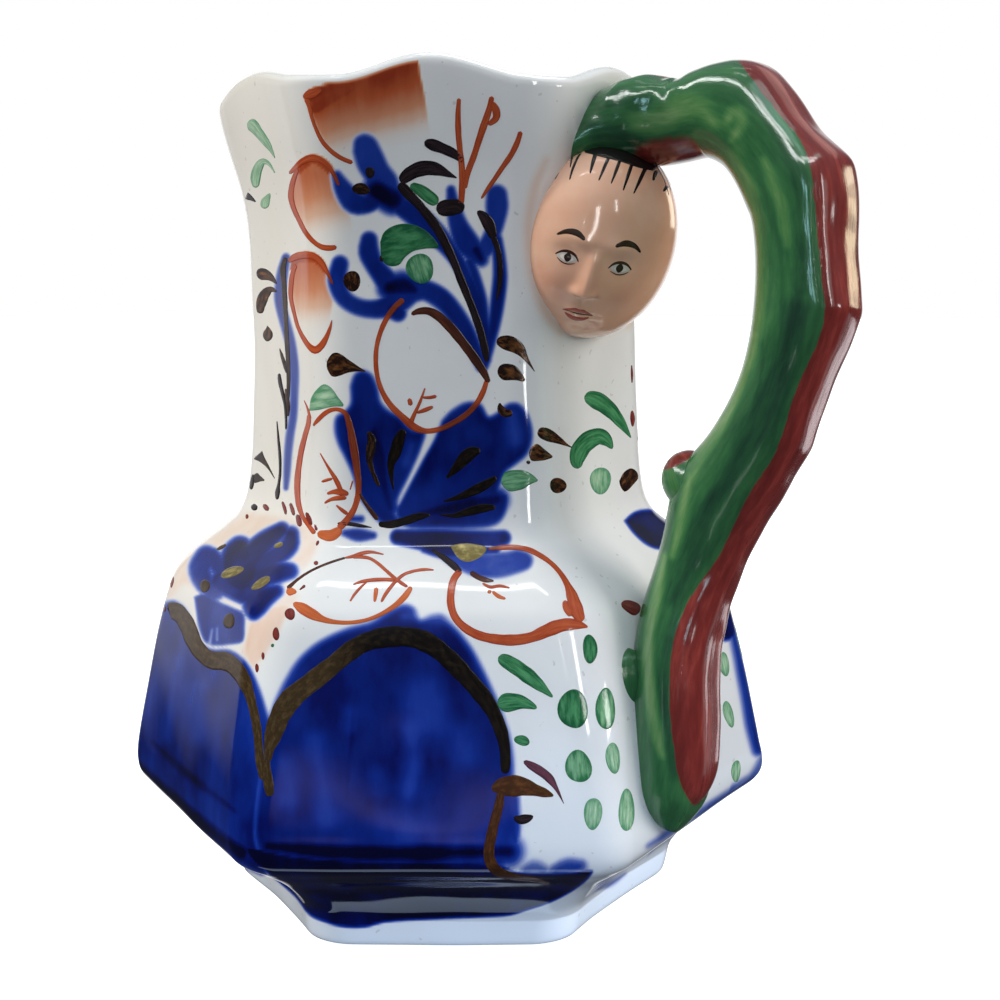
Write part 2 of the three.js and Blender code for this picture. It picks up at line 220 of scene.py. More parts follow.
# ---------------------------------------------------------------- mesh helpers
def make_mesh(name, verts, faces, normals=None, attrs=None, uv=None):
    verts = np.asarray(verts, float)
    faces = np.asarray(faces, np.int32)
    k = faces.shape[1]
    tri = faces if k == 3 else np.vstack([faces[:, [0, 1, 2]], faces[:, [0, 2, 3]]])
    rel = verts - verts.mean(0)
    if uv is None and (rel[tri[:, 0]] * np.cross(rel[tri[:, 1]], rel[tri[:, 2]])).sum() < 0:
        faces = np.ascontiguousarray(faces[:, ::-1])
    me = bpy.data.meshes.new(name)
    me.vertices.add(len(verts))
    me.vertices.foreach_set("co", (verts * MM).astype(np.float32).ravel())
    me.loops.add(faces.size)
    me.loops.foreach_set("vertex_index", faces.ravel())
    me.polygons.add(len(faces))
    me.polygons.foreach_set("loop_start", np.arange(0, faces.size, k, dtype=np.int32))
    me.update(calc_edges=True)
    me.polygons.foreach_set("use_smooth", np.ones(len(faces), bool))
    for key, val in (attrs or {}).items():
        val = np.asarray(val, np.float32)
        if val.ndim == 1:
            me.attributes.new(key, "FLOAT", "POINT").data.foreach_set("value", val)
        else:
            rgba = np.ones((len(val), 4), np.float32)
            rgba[:, :3] = val[:, :3]
            me.attributes.new(key, "FLOAT_COLOR", "POINT").data.foreach_set("color", rgba.ravel())
    if uv is not None:
        layer = me.uv_layers.new(name="OFBake")
        layer.data.foreach_set("uv", np.asarray(uv, np.float32).ravel())
    if normals is not None:
        me.normals_split_custom_set_from_vertices([tuple(n) for n in normals])
    me.update()
    ob = bpy.data.objects.new(name, me)
    bpy.context.scene.collection.objects.link(ob)
    return ob


def grid_faces(R, C, wrap_rows=False):
    r = np.arange(R if wrap_rows else R - 1)
    c = np.arange(C)
    rr, cc = np.meshgrid(r, c, indexing="ij")
    r1, c1 = (rr + 1) % R, (cc + 1) % C
    return np.stack([rr * C + cc, rr * C + c1, r1 * C + c1, r1 * C + cc], -1).reshape(-1, 4)


def grid_uv(R, C, wrap_rows=False):
    """Cylindrical layout, one seam up the side and one round the joint."""
    rows = R if wrap_rows else R - 1
    rr, cc = np.meshgrid(np.arange(rows), np.arange(C), indexing="ij")
    u0, u1 = cc / C, (cc + 1) / C
    v0, v1 = rr / rows, (rr + 1) / rows
    pad = 0.004
    q = np.stack([np.stack([u0, v0], -1), np.stack([u1, v0], -1), np.stack([u1, v1], -1), np.stack([u0, v1], -1)], 2)
    return pad + q.reshape(-1, 2) * (1 - 2 * pad)


# ---------------------------------------------------------------- materials
def nodes_of(name):
    m = bpy.data.materials.new(name)
    m.use_nodes = True
    nt = m.node_tree
    bsdf = nt.nodes["Principled BSDF"]
    return m, nt, bsdf


def mixrgb(nt, fac, a, b, mode="MIX"):
    n = nt.nodes.new("ShaderNodeMix")
    n.data_type = "RGBA"
    n.blend_type = mode
    for sock, val in ((n.inputs[0], fac), (n.inputs[6], a), (n.inputs[7], b)):
        if hasattr(val, "is_linked") or hasattr(val, "links"):
            nt.links.new(val, sock)
        elif isinstance(val, (int, float)):
            sock.default_value = val
        else:
            sock.default_value = (*val, 1.0)
    return n.outputs[2]


def math_node(nt, op, a, b=None, c=None, clamp=False):
    n = nt.nodes.new("ShaderNodeMath")
    n.operation = op
    n.use_clamp = clamp
    for sock, val in zip(n.inputs, (a, b, c)):
        if val is None:
            continue
        if isinstance(val, (int, float)):
            sock.default_value = val
        else:
            nt.links.new(val, sock)
    return n.outputs[0]


def attr(nt, name, kind="Fac"):
    n = nt.nodes.new("ShaderNodeAttribute")
    n.attribute_name = name
    return n.outputs[kind]


def noise(nt, scale, detail=2.0, rough=0.5, stretch=(1, 1, 1), vec=None):
    if vec is None:
        tc = nt.nodes.new("ShaderNodeTexCoord")
        vec = tc.outputs["Object"]
    mp = nt.nodes.new("ShaderNodeMapping")
    mp.inputs["Scale"].default_value = stretch
    nt.links.new(vec, mp.inputs["Vector"])
    n = nt.nodes.new("ShaderNodeTexNoise")
    n.inputs["Scale"].default_value = scale
    n.inputs["Detail"].default_value = detail
    n.inputs["Roughness"].default_value = rough
    nt.links.new(mp.outputs["Vector"], n.inputs["Vector"])
    return n.outputs["Fac"]


def ramp(nt, fac, stops):
    n = nt.nodes.new("ShaderNodeValToRGB")
    el = n.color_ramp.elements
    while len(el) < len(stops):
        el.new(0.5)
    for e, (p, c) in zip(el, stops):
        e.position = p
        e.color = (*c, 1.0)
    nt.links.new(fac, n.inputs["Fac"])
    return n.outputs["Color"]


def bump(nt, height, strength, dist):
    n = nt.nodes.new("ShaderNodeBump")
    n.inputs["Strength"].default_value = strength
    n.inputs["Distance"].default_value = dist
    nt.links.new(height, n.inputs["Height"])
    return n.outputs["Normal"]


def glaze_material(name):
    """Clear glossy glaze over a white body with cobalt and thin washes under or on it."""
    m, nt, b = nodes_of(name)
    mott = noise(nt, 55, 3, 0.55)
    white = ramp(nt, mott, [(0.3, (0.80, 0.80, 0.80)), (0.7, (0.86, 0.86, 0.86))])
    # painted warm light: the white turns cream round the side that faces the warm left-hand lamp
    white = mixrgb(nt, attr(nt, "warm"), white, (0.84, 0.80, 0.71))
    # painted cool light from below: the white turns bluer towards the foot
    sepz = nt.nodes.new("ShaderNodeSeparateXYZ")
    nt.links.new(nt.nodes.new("ShaderNodeTexCoord").outputs["Object"], sepz.inputs[0])
    painted_cool_light = math_node(nt, "MULTIPLY_ADD", sepz.outputs["Z"], -15.0, 0.85, clamp=True)
    white = mixrgb(nt, painted_cool_light, white, (0.70, 0.775, 0.90))
    # fine specks in the glaze
    sp = noise(nt, 900, 1, 0.4)
    spf = math_node(nt, "MULTIPLY", math_node(nt, "GREATER_THAN", sp, 0.755), 0.35)
    white = mixrgb(nt, spf, white, (0.42, 0.36, 0.33))
    # iron-red washes
    wash = attr(nt, "wash")
    wst = noise(nt, 260, 3, 0.6, (1, 1, 0.25))
    washn = math_node(nt, "MULTIPLY", wash, math_node(nt, "MULTIPLY_ADD", wst, 0.7, 0.65), clamp=True)
    washc = ramp(nt, washn, [(0.0, (0.84, 0.79, 0.72)), (0.12, (0.80, 0.58, 0.45)), (0.4, (0.66, 0.275, 0.150)), (0.75, (0.48, 0.095, 0.032)),
                             (1.0, (0.29, 0.038, 0.013))])
    wfac = math_node(nt, "MULTIPLY", washn, 5.0, clamp=True)
    col = mixrgb(nt, wfac, white, washc)
    # cobalt
    cob = attr(nt, "cobalt")
    n1 = noise(nt, 150, 4, 0.6, (1, 1, 0.45))
    n2 = noise(nt, 70, 3, 0.55, (1, 1, 0.75))
    n3 = noise(nt, 520, 3, 0.6, (1, 1, 0.10))
    var = math_node(nt, "ADD", math_node(nt, "MULTIPLY_ADD", n1, 0.52, -0.26), math_node(nt, "MULTIPLY_ADD", n2, 1.05, -0.525))
    var = math_node(nt, "ADD", var, math_node(nt, "MULTIPLY_ADD", n3, 0.14, -0.07))
    cobn = math_node(nt, "MULTIPLY_ADD", var, math_node(nt, "MULTIPLY", cob, 0.80), cob, clamp=True)
    cobc = ramp(nt, cobn, [(0.0, (0.72, 0.74, 0.83)), (0.15, (0.46, 0.51, 0.74)), (0.33, (0.11, 0.17, 0.50)), (0.50, (0.014, 0.050, 0.36)),
                           (0.68, (0.003, 0.020, 0.22)), (0.84, (0.0012, 0.005, 0.095)), (1.0, (0.0010, 0.0014, 0.020))])
    cfac = math_node(nt, "MULTIPLY", cobn, 6.0, clamp=True)
    col = mixrgb(nt, cfac, col, cobc)
    nt.links.new(col, b.inputs["Base Color"])
    b.inputs["Roughness"].default_value = 0.07
    b.inputs["IOR"].default_value = 1.52
    b.inputs["Coat Weight"].default_value = 0.35
    b.inputs["Coat Roughness"].default_value = 0.03
    hb = math_node(nt, "ADD", math_node(nt, "MULTIPLY", noise(nt, 38, 2, 0.5), 1.0), math_node(nt, "MULTIPLY", noise(nt, 160, 2, 0.5), 0.10))
    nt.links.new(bump(nt, hb, 0.30, 0.0009), b.inputs["Normal"])
    return m


# ---------------------------------------------------------------- body pieces
def piece_from_rows(name, r0, r1, r2=None, r3=None, mat=None, extra=None):
    rows = list(range(r0, r1)) + (list(range(r2, r3)) if r2 is not None else [])
    v = P[rows].reshape(-1, 3)
    n = NRM[rows].reshape(-1, 3)
    f = grid_faces(len(rows), NCOL, wrap_rows=True)
    uv = grid_uv(len(rows), NCOL, wrap_rows=True)
    at = {k: a[rows].reshape(-1) for k, a in (extra or {}).items()}
    ob = make_mesh(name, v, f, n, at, uv)
    if mat:
        ob.data.materials.append(mat)
    return ob


PAINT = {k: np.zeros(P.shape[:2]) for k in ("cobalt", "wash", "warm")}
# ---------------------------------------------------------------- painting
# Every motif is laid out as a few control points in the picture plane of the view above (1000 x 1000),
# then carried onto the surface of the jug along the lines of sight.
body_faces = grid_faces(OUT_ROWS[1] - OUT_ROWS[0], NCOL)
body_v = P[OUT_ROWS[0]:OUT_ROWS[1]].reshape(-1, 3)
body_n = NRM[OUT_ROWS[0]:OUT_ROWS[1]].reshape(-1, 3)
BODY_TREE = BVHTree.FromPolygons(body_v.tolist(), body_faces.tolist())
EYE_V = Vector(EYE)


def pairs(flat):
    return np.asarray(flat, float).reshape(-1, 2)


def stroke_path(pts, w, step=1.6):
    """Smooth path through pts with the widths w spread over the points."""
    p = np.asarray(pts, float)
    w = np.asarray(w, float)
    if len(w) != len(p):
        w = np.interp(np.linspace(0, 1, len(p)), np.linspace(0, 1, len(w)), w)
    if len(p) == 2:
        p = np.vstack([p[0], p.mean(0), p[1]])
        w = np.array([w[0], w.mean(), w[1]])
    c = catmull(np.column_stack([p, w]), 8)
    c[:, 2] = np.maximum(c[:, 2], 0.12)
    return resample(c, step)


# --- soft colour under and in the glaze
COBALT, WASH = [], []


def cob(flat, w, dens=0.6, soft=4.2):
    COBALT.append(("stroke", stroke_path(pairs(flat), w, 4.0), dens, soft))


def cob_area(flat, dens=0.6, soft=4.2):
    COBALT.append(("area", catmull(np.vstack([pairs(flat), pairs(flat)[:1]]), 4), dens, soft))


def cob_lift(flat, w, dens=0.5, soft=4.0):
    COBALT.append(("lift", stroke_path(pairs(flat), w, 4.0), dens, soft))


def wash_area(flat, dens, soft=1.5, fade=None):
    WASH.append(("area", catmull(np.vstack([pairs(flat), pairs(flat)[:1]]), 4), dens, soft, fade))


def wash(flat, w, dens, soft=1.5, fade=None):
    WASH.append(("stroke", stroke_path(pairs(flat), w, 3.0), dens, soft, fade))


def stroke_dist(px, py, path):
    d = np.full(px.shape, 1e9)
    for (x0, y0, w0), (x1, y1, w1) in zip(path[:-1], path[1:]):
        vx, vy = x1 - x0, y1 - y0
        t = np.clip(((px - x0) * vx + (py - y0) * vy) / (vx * vx + vy * vy + 1e-9), 0, 1)
        d = np.minimum(d, np.hypot(px - x0 - t * vx, py - y0 - t * vy) - (w0 + (w1 - w0) * t))
    return d


def area_dist(px, py, poly):
    d = np.full(px.shape, 1e9)
    inside = np.zeros(px.shape, bool)
    for (x0, y0), (x1, y1) in zip(poly[:-1], poly[1:]):
        vx, vy = x1 - x0, y1 - y0
        t = np.clip(((px - x0) * vx + (py - y0) * vy) / (vx * vx + vy * vy + 1e-9), 0, 1)
        d = np.minimum(d, np.hypot(px - x0 - t * vx, py - y0 - t * vy))
        cross = ((y0 > py) != (y1 > py)) & (px < vx * (py - y0) / (vy if abs(vy) > 1e-9 else 1e-9) + x0)
        inside ^= cross
    return np.where(inside, -d, d)


def soft_layer(shapes, px, py):
    out = np.zeros(px.shape)
    for sh in shapes:
        kind, path, dens, soft = sh[:4]
        fade = sh[4] if len(sh) > 4 else None
        reach = 3 * soft + (path[:, 2].max() if kind != "area" else 0)
        lo, hi = path[:, :2].min(0) - reach, path[:, :2].max(0) + reach
        m = (px > lo[0]) & (px < hi[0]) & (py > lo[1]) & (py < hi[1])
        if not m.any():
            continue
        x, y = px[m], py[m]
        d = area_dist(x, y, path) if kind == "area" else stroke_dist(x, y, path)
        v = smoothstep(0.5 - d / (2 * soft))
        if fade is not None:
            (fx0, fy0, f0), (fx1, fy1, f1) = fade
            t = ((x - fx0) * (fx1 - fx0) + (y - fy0) * (fy1 - fy0)) / ((fx1 - fx0) ** 2 + (fy1 - fy0) ** 2)
            v = v * (f0 + (f1 - f0) * smoothstep(t))
        if kind == "lift":
            out[m] *= 1 - dens * v
        else:
            out[m] = np.maximum(out[m], dens * v)
    return out


# --- crisp overglaze colours
INK = []      # (colour, kind, data)


def S(col, flat, w):
    INK.append((col, "stroke", (pairs(flat), np.asarray(w, float))))


def E(col, cx, cy, rx, ry, rot=0.0):
    t = np.linspace(0, 2 * math.pi, 28, endpoint=False)
    c, s = math.cos(math.radians(rot)), math.sin(math.radians(rot))
    k = 1 + 0.05 * np.sin(2 * t + cx) + 0.04 * np.sin(3 * t + cy)
    x, y = rx * np.cos(t) * k, ry * np.sin(t) * k
    INK.append((col, "blob", np.stack([cx + x * c - y * s, cy + x * s + y * c], -1)))


def B(col, flat):
    p = pairs(flat)
    INK.append((col, "blob", resample(catmull(np.vstack([p, p[:1]]), 6), 2.5)[:-1]))


# upper neck: red petal at the rim and the two peach petals under it
wash_area([303, 97, 309, 90, 330, 83.5, 352, 74, 376, 66, 400, 62.5, 416, 60, 420, 76, 425, 100, 428, 120, 430, 136, 412, 142, 390, 146, 368, 150,
           352, 160, 338, 154, 325, 142, 317, 128, 312, 112, 309, 103], 1.0, 1.4, ((372, 70, 1.0), (392, 146, 0.05)))
wash([316, 108, 330, 99, 345, 93, 366, 84], [7, 7, 5, 2], 0.95, 3.0)
wash([404, 66, 411, 76, 416, 92, 420, 108], [5, 7, 6, 3], 0.95, 3.0, ((404, 66, 1.0), (421, 112, 0.3)))
wash_area([296, 172, 304, 162, 313, 159, 324, 163, 332, 172, 338, 186, 346, 204, 352, 222, 350, 240, 338, 246, 322, 245, 310, 238, 300, 222, 293, 204, 292, 186],
          0.62, 2.0, ((312, 160, 1.0), (334, 244, 0.04)))
wash([299, 172, 306, 163, 314, 160, 323, 164, 331, 173, 336, 184], [3, 5, 5, 5, 4, 3], 0.85, 2.0)
wash_area([292, 268, 300, 258, 311, 256, 321, 262, 328, 274, 333, 290, 332, 308, 328, 326, 320, 340, 313, 345, 306, 337, 299, 322, 294, 304, 292, 286],
          0.66, 2.0, ((310, 256, 1.0), (316, 336, 0.03)))
wash([290, 266, 298, 259, 308, 257, 318, 261, 325, 271], [4, 5, 5, 4, 3], 0.9, 2.0)
S("red", [305, 99, 309, 106, 312, 118, 316, 129, 322, 141, 331, 151, 341, 158, 353, 163], [1.6, 2.2, 2, 2, 2.2, 2.5, 2.6, 2.2])
S("red", [303, 98, 308, 95, 314, 93, 322, 89], [1.5, 4.2, 4.4, 1.6])
S("red", [289, 174, 295, 168, 303, 161, 312, 158, 320, 160, 328, 166, 334, 175, 339, 186], [1.5, 2.6, 3.4, 3.6, 3.2, 2.6, 2.2, 1.4])
S("red", [298, 168, 294, 178, 291.5, 188, 291, 198, 294, 209, 299, 220, 306, 233, 314, 242, 322, 247, 330, 248, 337, 247],
  [2, 2.6, 2.8, 2.8, 2.6, 2.5, 2.4, 2.4, 2.8, 3, 2])
S("red", [288, 262, 295, 257, 305, 255, 314, 256.5, 321, 262, 327, 272, 333, 285], [2, 3.4, 3.8, 3.6, 3, 2, 1])
S("red", [296, 264, 292.5, 274, 291, 286, 291, 298, 294, 312, 298, 327, 304, 339, 310, 347, 315.5, 350, 321, 346, 326, 338, 330, 328, 332, 320],
  [2, 2.5, 2.5, 2.2, 2, 1.8, 2.4, 3.2, 4, 3.4, 2.6, 1.6, .5])
wash([546, 160, 535, 186, 529, 216, 529, 250, 534, 282, 545, 312, 560, 332], [4, 6, 6, 6, 6, 6, 4], 0.12, 6.0)
# left neck sprigs
S("lgreen", [247, 123, 252, 125, 258, 132, 265, 141, 271, 150, 275, 158], [4.5, 6.5, 5, 4, 2, .4])
S("lgreen", [256, 188, 255.5, 178, 258, 168, 263, 161.5, 268, 163, 272, 168, 275, 173], [3, 5, 5, 3.5, 2, 1, .4])
S("lgreen", [265, 209, 265, 203, 268, 197, 270, 193], [3.5, 4.6, 2.5, 1])
S("black", [241, 194, 247, 196, 252, 199, 256, 202], [4.5, 3.8, 2, .4])
S("lustre", [256, 275, 262, 274, 270, 277, 277, 284], [5, 6, 4, .5])
S("lustre", [260, 314, 261, 304, 265, 294, 271, 289.5, 277, 292], [3, 5, 5.4, 3.2, .6])
B("lustre", [267, 325, 270, 328, 273, 333, 272, 339, 267, 342, 263, 338, 263, 332, 266, 328])
S("lustre", [326, 364, 333, 364.5, 341, 365.5, 350, 367, 358, 369, 366, 371.5], [6, 12, 11, 6, 2.6, .4])
cob([286, 258, 283, 270, 281, 284, 280, 297, 281.5, 309, 285, 322, 289, 337, 292.5, 354, 294, 372, 294, 395, 293, 415, 290, 435, 288, 455, 287, 473, 286, 488],
    [4, 5, 5.5, 5.5, 5, 5, 5, 4.5, 4.5, 4, 4, 4, 3.5, 3, 2], 0.56, 3.0)
S("umber", [286, 257, 283, 268, 284, 284, 285, 302, 286, 322, 287, 344, 288, 362, 288.5, 378, 288, 396, 287, 412], [2, 3, 2.8, 2.6, 2.4, 2.4, 2.4, 2, 1.8, 1])
S("umber", [279.5, 348, 282, 356, 285, 366, 287, 374], [.5, 1.8, 2, 1])
S("black", [279, 373, 280, 382, 282.5, 393, 285, 405, 286, 418, 286, 430], [1.8, 2.2, 2, 1.6, 1.6, 1])
S("lustre", [285.5, 388, 287, 398, 288, 408, 288, 417], [1, 2.4, 2.6, 1])
S("black", [277, 421, 278.5, 440, 280, 458, 280, 474, 278.5, 486, 277.5, 493, 277, 500], [.6, 1.4, 1.7, 1.5, 1.8, 2.8, 1.4])
S("umber", [253, 449, 257, 454, 262, 459.5, 268, 467, 275, 479], [8, 6.5, 3.4, 1.4, .3])
S("umber", [252.5, 476, 256, 478, 260, 479, 265, 480.5], [7.5, 6, 3, .4])
S("black", [251, 490, 252, 482, 253, 474], [1.5, 2.4, .8])
# red oval low on the neck's left edge, with twig and green cap
S("red", [304, 400, 307, 407, 309, 414, 310, 420], [.4, 1, 1.6, 2])
S("red", [309, 414, 308.5, 423, 305, 436, 301.5, 450, 299, 465, 297.5, 480, 297.5, 494, 299, 506, 303, 517, 309, 526, 315, 534],
  [1.6, 2.6, 2.7, 2.8, 3, 3.2, 3, 2.8, 2.2, 2.2, 2.6])
S("red", [313, 426, 318, 420, 324, 414, 331, 410, 338, 409.5, 345, 413, 349.5, 425, 352.5, 440, 355, 455, 357, 470, 358.5, 484, 357.5, 498, 353, 511, 346, 521, 338, 529],
  [.8, 2.2, 2.5, 2.2, 2, 2.4, 3.4, 4, 4, 3.6, 3, 3, 3.2, 3.4, 3.4])
S("orange", [317, 533, 324, 535, 331, 535.5, 337, 532, 341, 528], [3.2, 5, 5.6, 5, 3])
S("red", [320, 453, 328, 467, 336, 480, 342, 493], [.6, 1.5, 2.5, 2.6])
S("red", [321, 482, 327, 480, 333, 478.5], [1.2, 1.7, 1.4])
S("red", [326.5, 494, 333, 492, 341, 492, 349, 494.5], [1.2, 2.2, 3.4, 2])
S("red", [324, 503.5, 331, 499.5, 339, 498, 347, 498], [1.2, 1.9, 2.6, 1.8])
S("red", [336, 505, 342, 510, 348, 514.5], [.8, 2, 2.2])
B("lgreen", [309, 411, 311, 398, 317, 389, 324, 384, 331, 387.5, 338, 397, 344, 406, 335, 406.5, 327, 408, 318, 410])
S("red", [350, 490, 353, 480], [.6, 1])
S("brown", [359, 492, 364, 501, 371, 511, 378, 520], [1.4, 2, 2.4, 2.6])
# row of dashes where the neck meets the shoulder
S("black", [251, 505.5, 254, 507, 257, 510], [2.4, 3.2, 2.4])
S("dkred", [263, 504, 266, 507.5, 268.5, 511], [1.6, 2.6, 1.8])
S("dkred", [282, 501, 284.5, 508, 286, 515], [1.2, 2, 1.2])
S("dkred", [290, 502.5, 292.5, 510, 294, 516], [1.4, 2.3, 1.4])
S("dkred", [297, 514, 299, 521, 300, 527], [1.8, 2.9, 2.2])
S("dkred", [306, 512, 309, 519, 311, 526], [1.6, 2.8, 1.8])
S("dkred", [314.5, 524, 317, 531], [1, 1.8])
E("dkred", 247, 516.5, 1.5, 2.6)
E("dkred", 317.5, 543, 1.5, 2.8, 20)

# cobalt flower and leaves on the neck front
cob_area([353, 152, 355, 139, 364, 134, 374, 138, 381, 150, 388, 165, 397, 178, 398, 198, 386, 206, 373, 197, 366, 181, 358, 168], 0.62)
cob([337, 176, 344, 190, 354, 202, 366, 204, 378, 197, 388, 193], [5, 9, 11, 9, 10, 12], 0.66)
cob([377, 190, 393, 199], [12, 13], 0.98, 10.0)
cob([388, 196, 402, 206, 420, 219, 438, 236, 450, 250, 460, 265, 468, 281, 475, 298, 481, 316, 485, 336, 486, 358, 485, 368],
    [11, 10, 11, 10, 8, 7, 7, 7, 7, 6.5, 5, 2], 0.70)
cob([451, 190, 453, 204, 458, 224, 467, 243, 478, 255], [4, 6, 9, 12, 10], 0.66)
cob([497, 195, 497, 206, 496, 220, 492, 235, 486, 247, 479, 254], [10, 11, 9, 8, 9, 9], 0.60)
cob([476, 250, 481, 259], [7, 6], 0.88, 7.0)
cob([470, 262, 476, 280, 481, 298, 484, 316], [5, 5, 5, 5], 0.66)
cob([496, 240, 499, 258, 500, 276, 498, 297, 495, 318, 491, 338, 487, 360, 485, 368], [6, 6, 6.5, 6.5, 6, 5, 3, 1.5], 0.70)
cob([404, 291, 424, 290, 440, 298, 453, 311, 464, 327, 473, 345, 481, 366], [14, 10, 10, 9, 8, 7, 5], 0.70)
cob([340, 264, 337, 280, 343, 297, 358, 307, 378, 309, 395, 303, 405, 293], [8, 9, 8, 8, 9, 12, 14], 0.68)
cob([369, 240, 369, 252, 374, 264, 382, 275, 390, 285], [8, 10, 9, 10, 12], 0.64)
cob([390, 288, 404, 286, 414, 290], [10, 12, 8], 0.95, 10.0)
cob([392, 310, 398, 313], [8, 8], 0.75)
S("black", [414, 200, 425, 212, 437, 228, 446, 245, 454, 262, 461, 280, 468, 297, 475, 315, 481, 333, 485, 350, 487, 362],
  [4, 4.6, 5, 4.6, 4.2, 4.2, 4, 4, 4, 4, 2])
S("black", [493, 236, 498, 250, 500, 266, 499.5, 284, 497, 300], [3, 3, 3, 2.4, .8])
S("black", [400, 182, 410, 173.5, 420, 169, 430, 168, 440, 170.5, 449, 174.5, 457, 178], [4.5, 7, 8, 7.4, 5.6, 3, .5])
S("black", [399, 183, 405, 190, 412, 197.5, 424, 210], [4.5, 5.6, 5, 4.5])
S("black", [436, 210, 446, 208, 457, 207.5, 463, 212], [6, 8.5, 8.5, 5])
S("black", [424, 142, 432, 144.5, 444, 149, 455, 154.5, 464, 162], [3.2, 5.8, 5.6, 4.6, 2])
S("black", [477, 211, 483, 216, 489, 225, 494, 239], [1.6, 5, 6, 4])
E("black", 370, 172.5, 5, 5.6)
E("umber", 361, 189, 9, 6.2, 15)
E("lustre", 352, 281, 8.8, 10.5, 10)
E("black", 382, 258.5, 2.8, 3.2)
S("green", [410, 185, 420, 190, 430, 197.5, 438, 203.5], [3.5, 6, 6.6, 4.4])
B("green", [380, 242, 384, 232, 394, 225.5, 406, 223.5, 418, 226, 428, 232, 436, 241, 439, 247.5, 426, 248.5, 413, 251.5, 405, 257.5, 399, 265, 389, 266, 382, 260])
E("mgreen", 420, 268.5, 14.5, 14.5)
# three red stems
S("red", [459, 98, 458, 115, 458.5, 135, 460, 150, 462, 170, 462, 190, 461, 205], [2, 2.8, 3, 3, 3.2, 3.4, 2.8])
S("red", [492, 96, 489.5, 108, 485, 122, 479, 140, 473.5, 157, 468, 172, 464.5, 189], [2.4, 3.2, 3.6, 3.4, 3.2, 3, 2.4])
S("red", [492, 102, 496, 110, 496, 118, 488, 125], [2.4, 3.8, 3.6, 2.2])
S("red", [521, 131, 517, 143, 511, 155, 502, 168, 494, 180, 487, 190, 481, 199], [2.4, 3, 2.8, 2.6, 2.4, 2, 1])
# red ring with twig
S("red", [404, 299, 395, 307, 387, 318, 380.5, 332, 376.5, 348, 376, 366, 379, 383, 385, 397, 393, 408, 404, 418.5, 414, 427, 425, 431, 440, 429, 455, 422, 468, 413,
          477, 403, 483, 392, 487, 380],
  [3, 3, 2.7, 2.5, 2.4, 2.4, 2.5, 2.7, 3.2, 3.6, 3.8, 2.9, 2.7, 2.8, 3, 2.8, 2.8, 2.4])
S("brown", [411, 314.5, 418, 311.5, 428, 311, 438, 316, 450, 327, 462, 341.5, 474, 357.5, 483, 371, 489, 383], [1.8, 3, 4, 4.8, 5, 5, 4.8, 4.2, 2.4])
S("red", [425, 388, 420, 402, 414, 415, 409, 427], [.8, 1.5, 2.1, 3.4])
S("red", [422, 397.5, 430, 397.5, 437, 396], [1.2, 1.8, 2.1])
S("red", [416, 413, 425, 410, 433.5, 406.5], [1.2, 2.3, 1.6])
S("red", [409, 398, 411, 406], [2.2, 2.7])
# large cobalt leaf
cob_area([351, 386, 355, 375, 362, 371, 371, 375, 377, 388, 380, 402, 387, 410, 400, 418, 412, 430, 424, 432, 421, 446, 415, 462, 407, 480, 398, 498, 395, 512,
          402, 524, 384, 524, 370, 511, 359, 494, 354, 476, 346, 458, 338, 442, 335, 428, 337, 417, 345, 412, 351, 404], 0.72, 5.0)
cob([374, 432, 378, 455, 384, 485, 390, 508], [9, 12, 10, 8], 0.86, 10.0)
cob_area([440, 424, 452, 411, 467, 403, 480, 405, 488, 417, 497, 414, 508, 405, 517, 404, 525, 411, 531, 427, 531, 441, 526, 454, 516, 463, 506, 471, 501, 481, 499, 490,
          507, 495, 507, 506, 502, 518, 494, 525, 470, 528, 440, 528, 405, 526, 396, 512, 402, 498, 412, 480, 424, 458, 434, 440], 0.78, 5.0)
cob([496, 500, 470, 505, 440, 510, 415, 515], [10, 13, 10, 8], 0.97, 11.0)
cob([484, 452, 466, 470, 446, 488], [8, 10, 8], 0.80, 10.0)
cob_lift([437, 424, 431, 438, 424, 452, 416, 468, 408, 484, 399, 503], [4, 3.5, 2.6, 2, 1.6, 1], 0.62, 3.0)
cob_lift([478, 432, 486, 440], [9, 8], 0.10, 7.0)
cob_lift([412, 446, 407, 462], [5, 5], 0.25, 6.0)
cob_lift([438, 480, 432, 494], [9, 7], 0.06, 7.0)
cob_lift([512, 416, 516, 440], [6, 6], 0.28, 9.0)
S("umber", [368, 431, 371.5, 440, 370.5, 450, 369.5, 460, 372, 470, 376, 480, 379.5, 487], [1.8, 4.4, 4.6, 3.4, 2.4, 2.3, 1.4])
S("olive", [404, 429, 399, 440, 395.5, 452, 391, 464, 391.5, 478, 393.5, 490], [3, 5.8, 6.4, 4, 2, .8])
S("olive", [481, 450, 471, 453, 463, 460, 455, 469.5, 446, 478.5], [2.4, 6.3, 6.6, 4.2, .8])
S("olive", [497, 477, 486, 484.5, 472, 491.5, 458, 497.5, 443, 501.5], [2.4, 4.8, 4.6, 3, .6])
S("olive", [496, 507, 482, 508.5, 468, 512, 455, 515.5, 440, 515], [2.4, 4.6, 4, 2.6, .6])
S("olive", [378, 524, 390, 524.5, 405, 521, 419, 516.5, 431, 515], [2.4, 4, 4.4, 3.8, 1.2])
S("black", [337, 523.5, 350, 524, 362, 526, 372, 527.5], [1.4, 2.2, 1.8, .4])
cob([345, 533, 358, 535, 373, 535.5], [3, 6, 3], 0.66)
cob([352, 519, 361, 519], [3, 3], 0.6, 4)
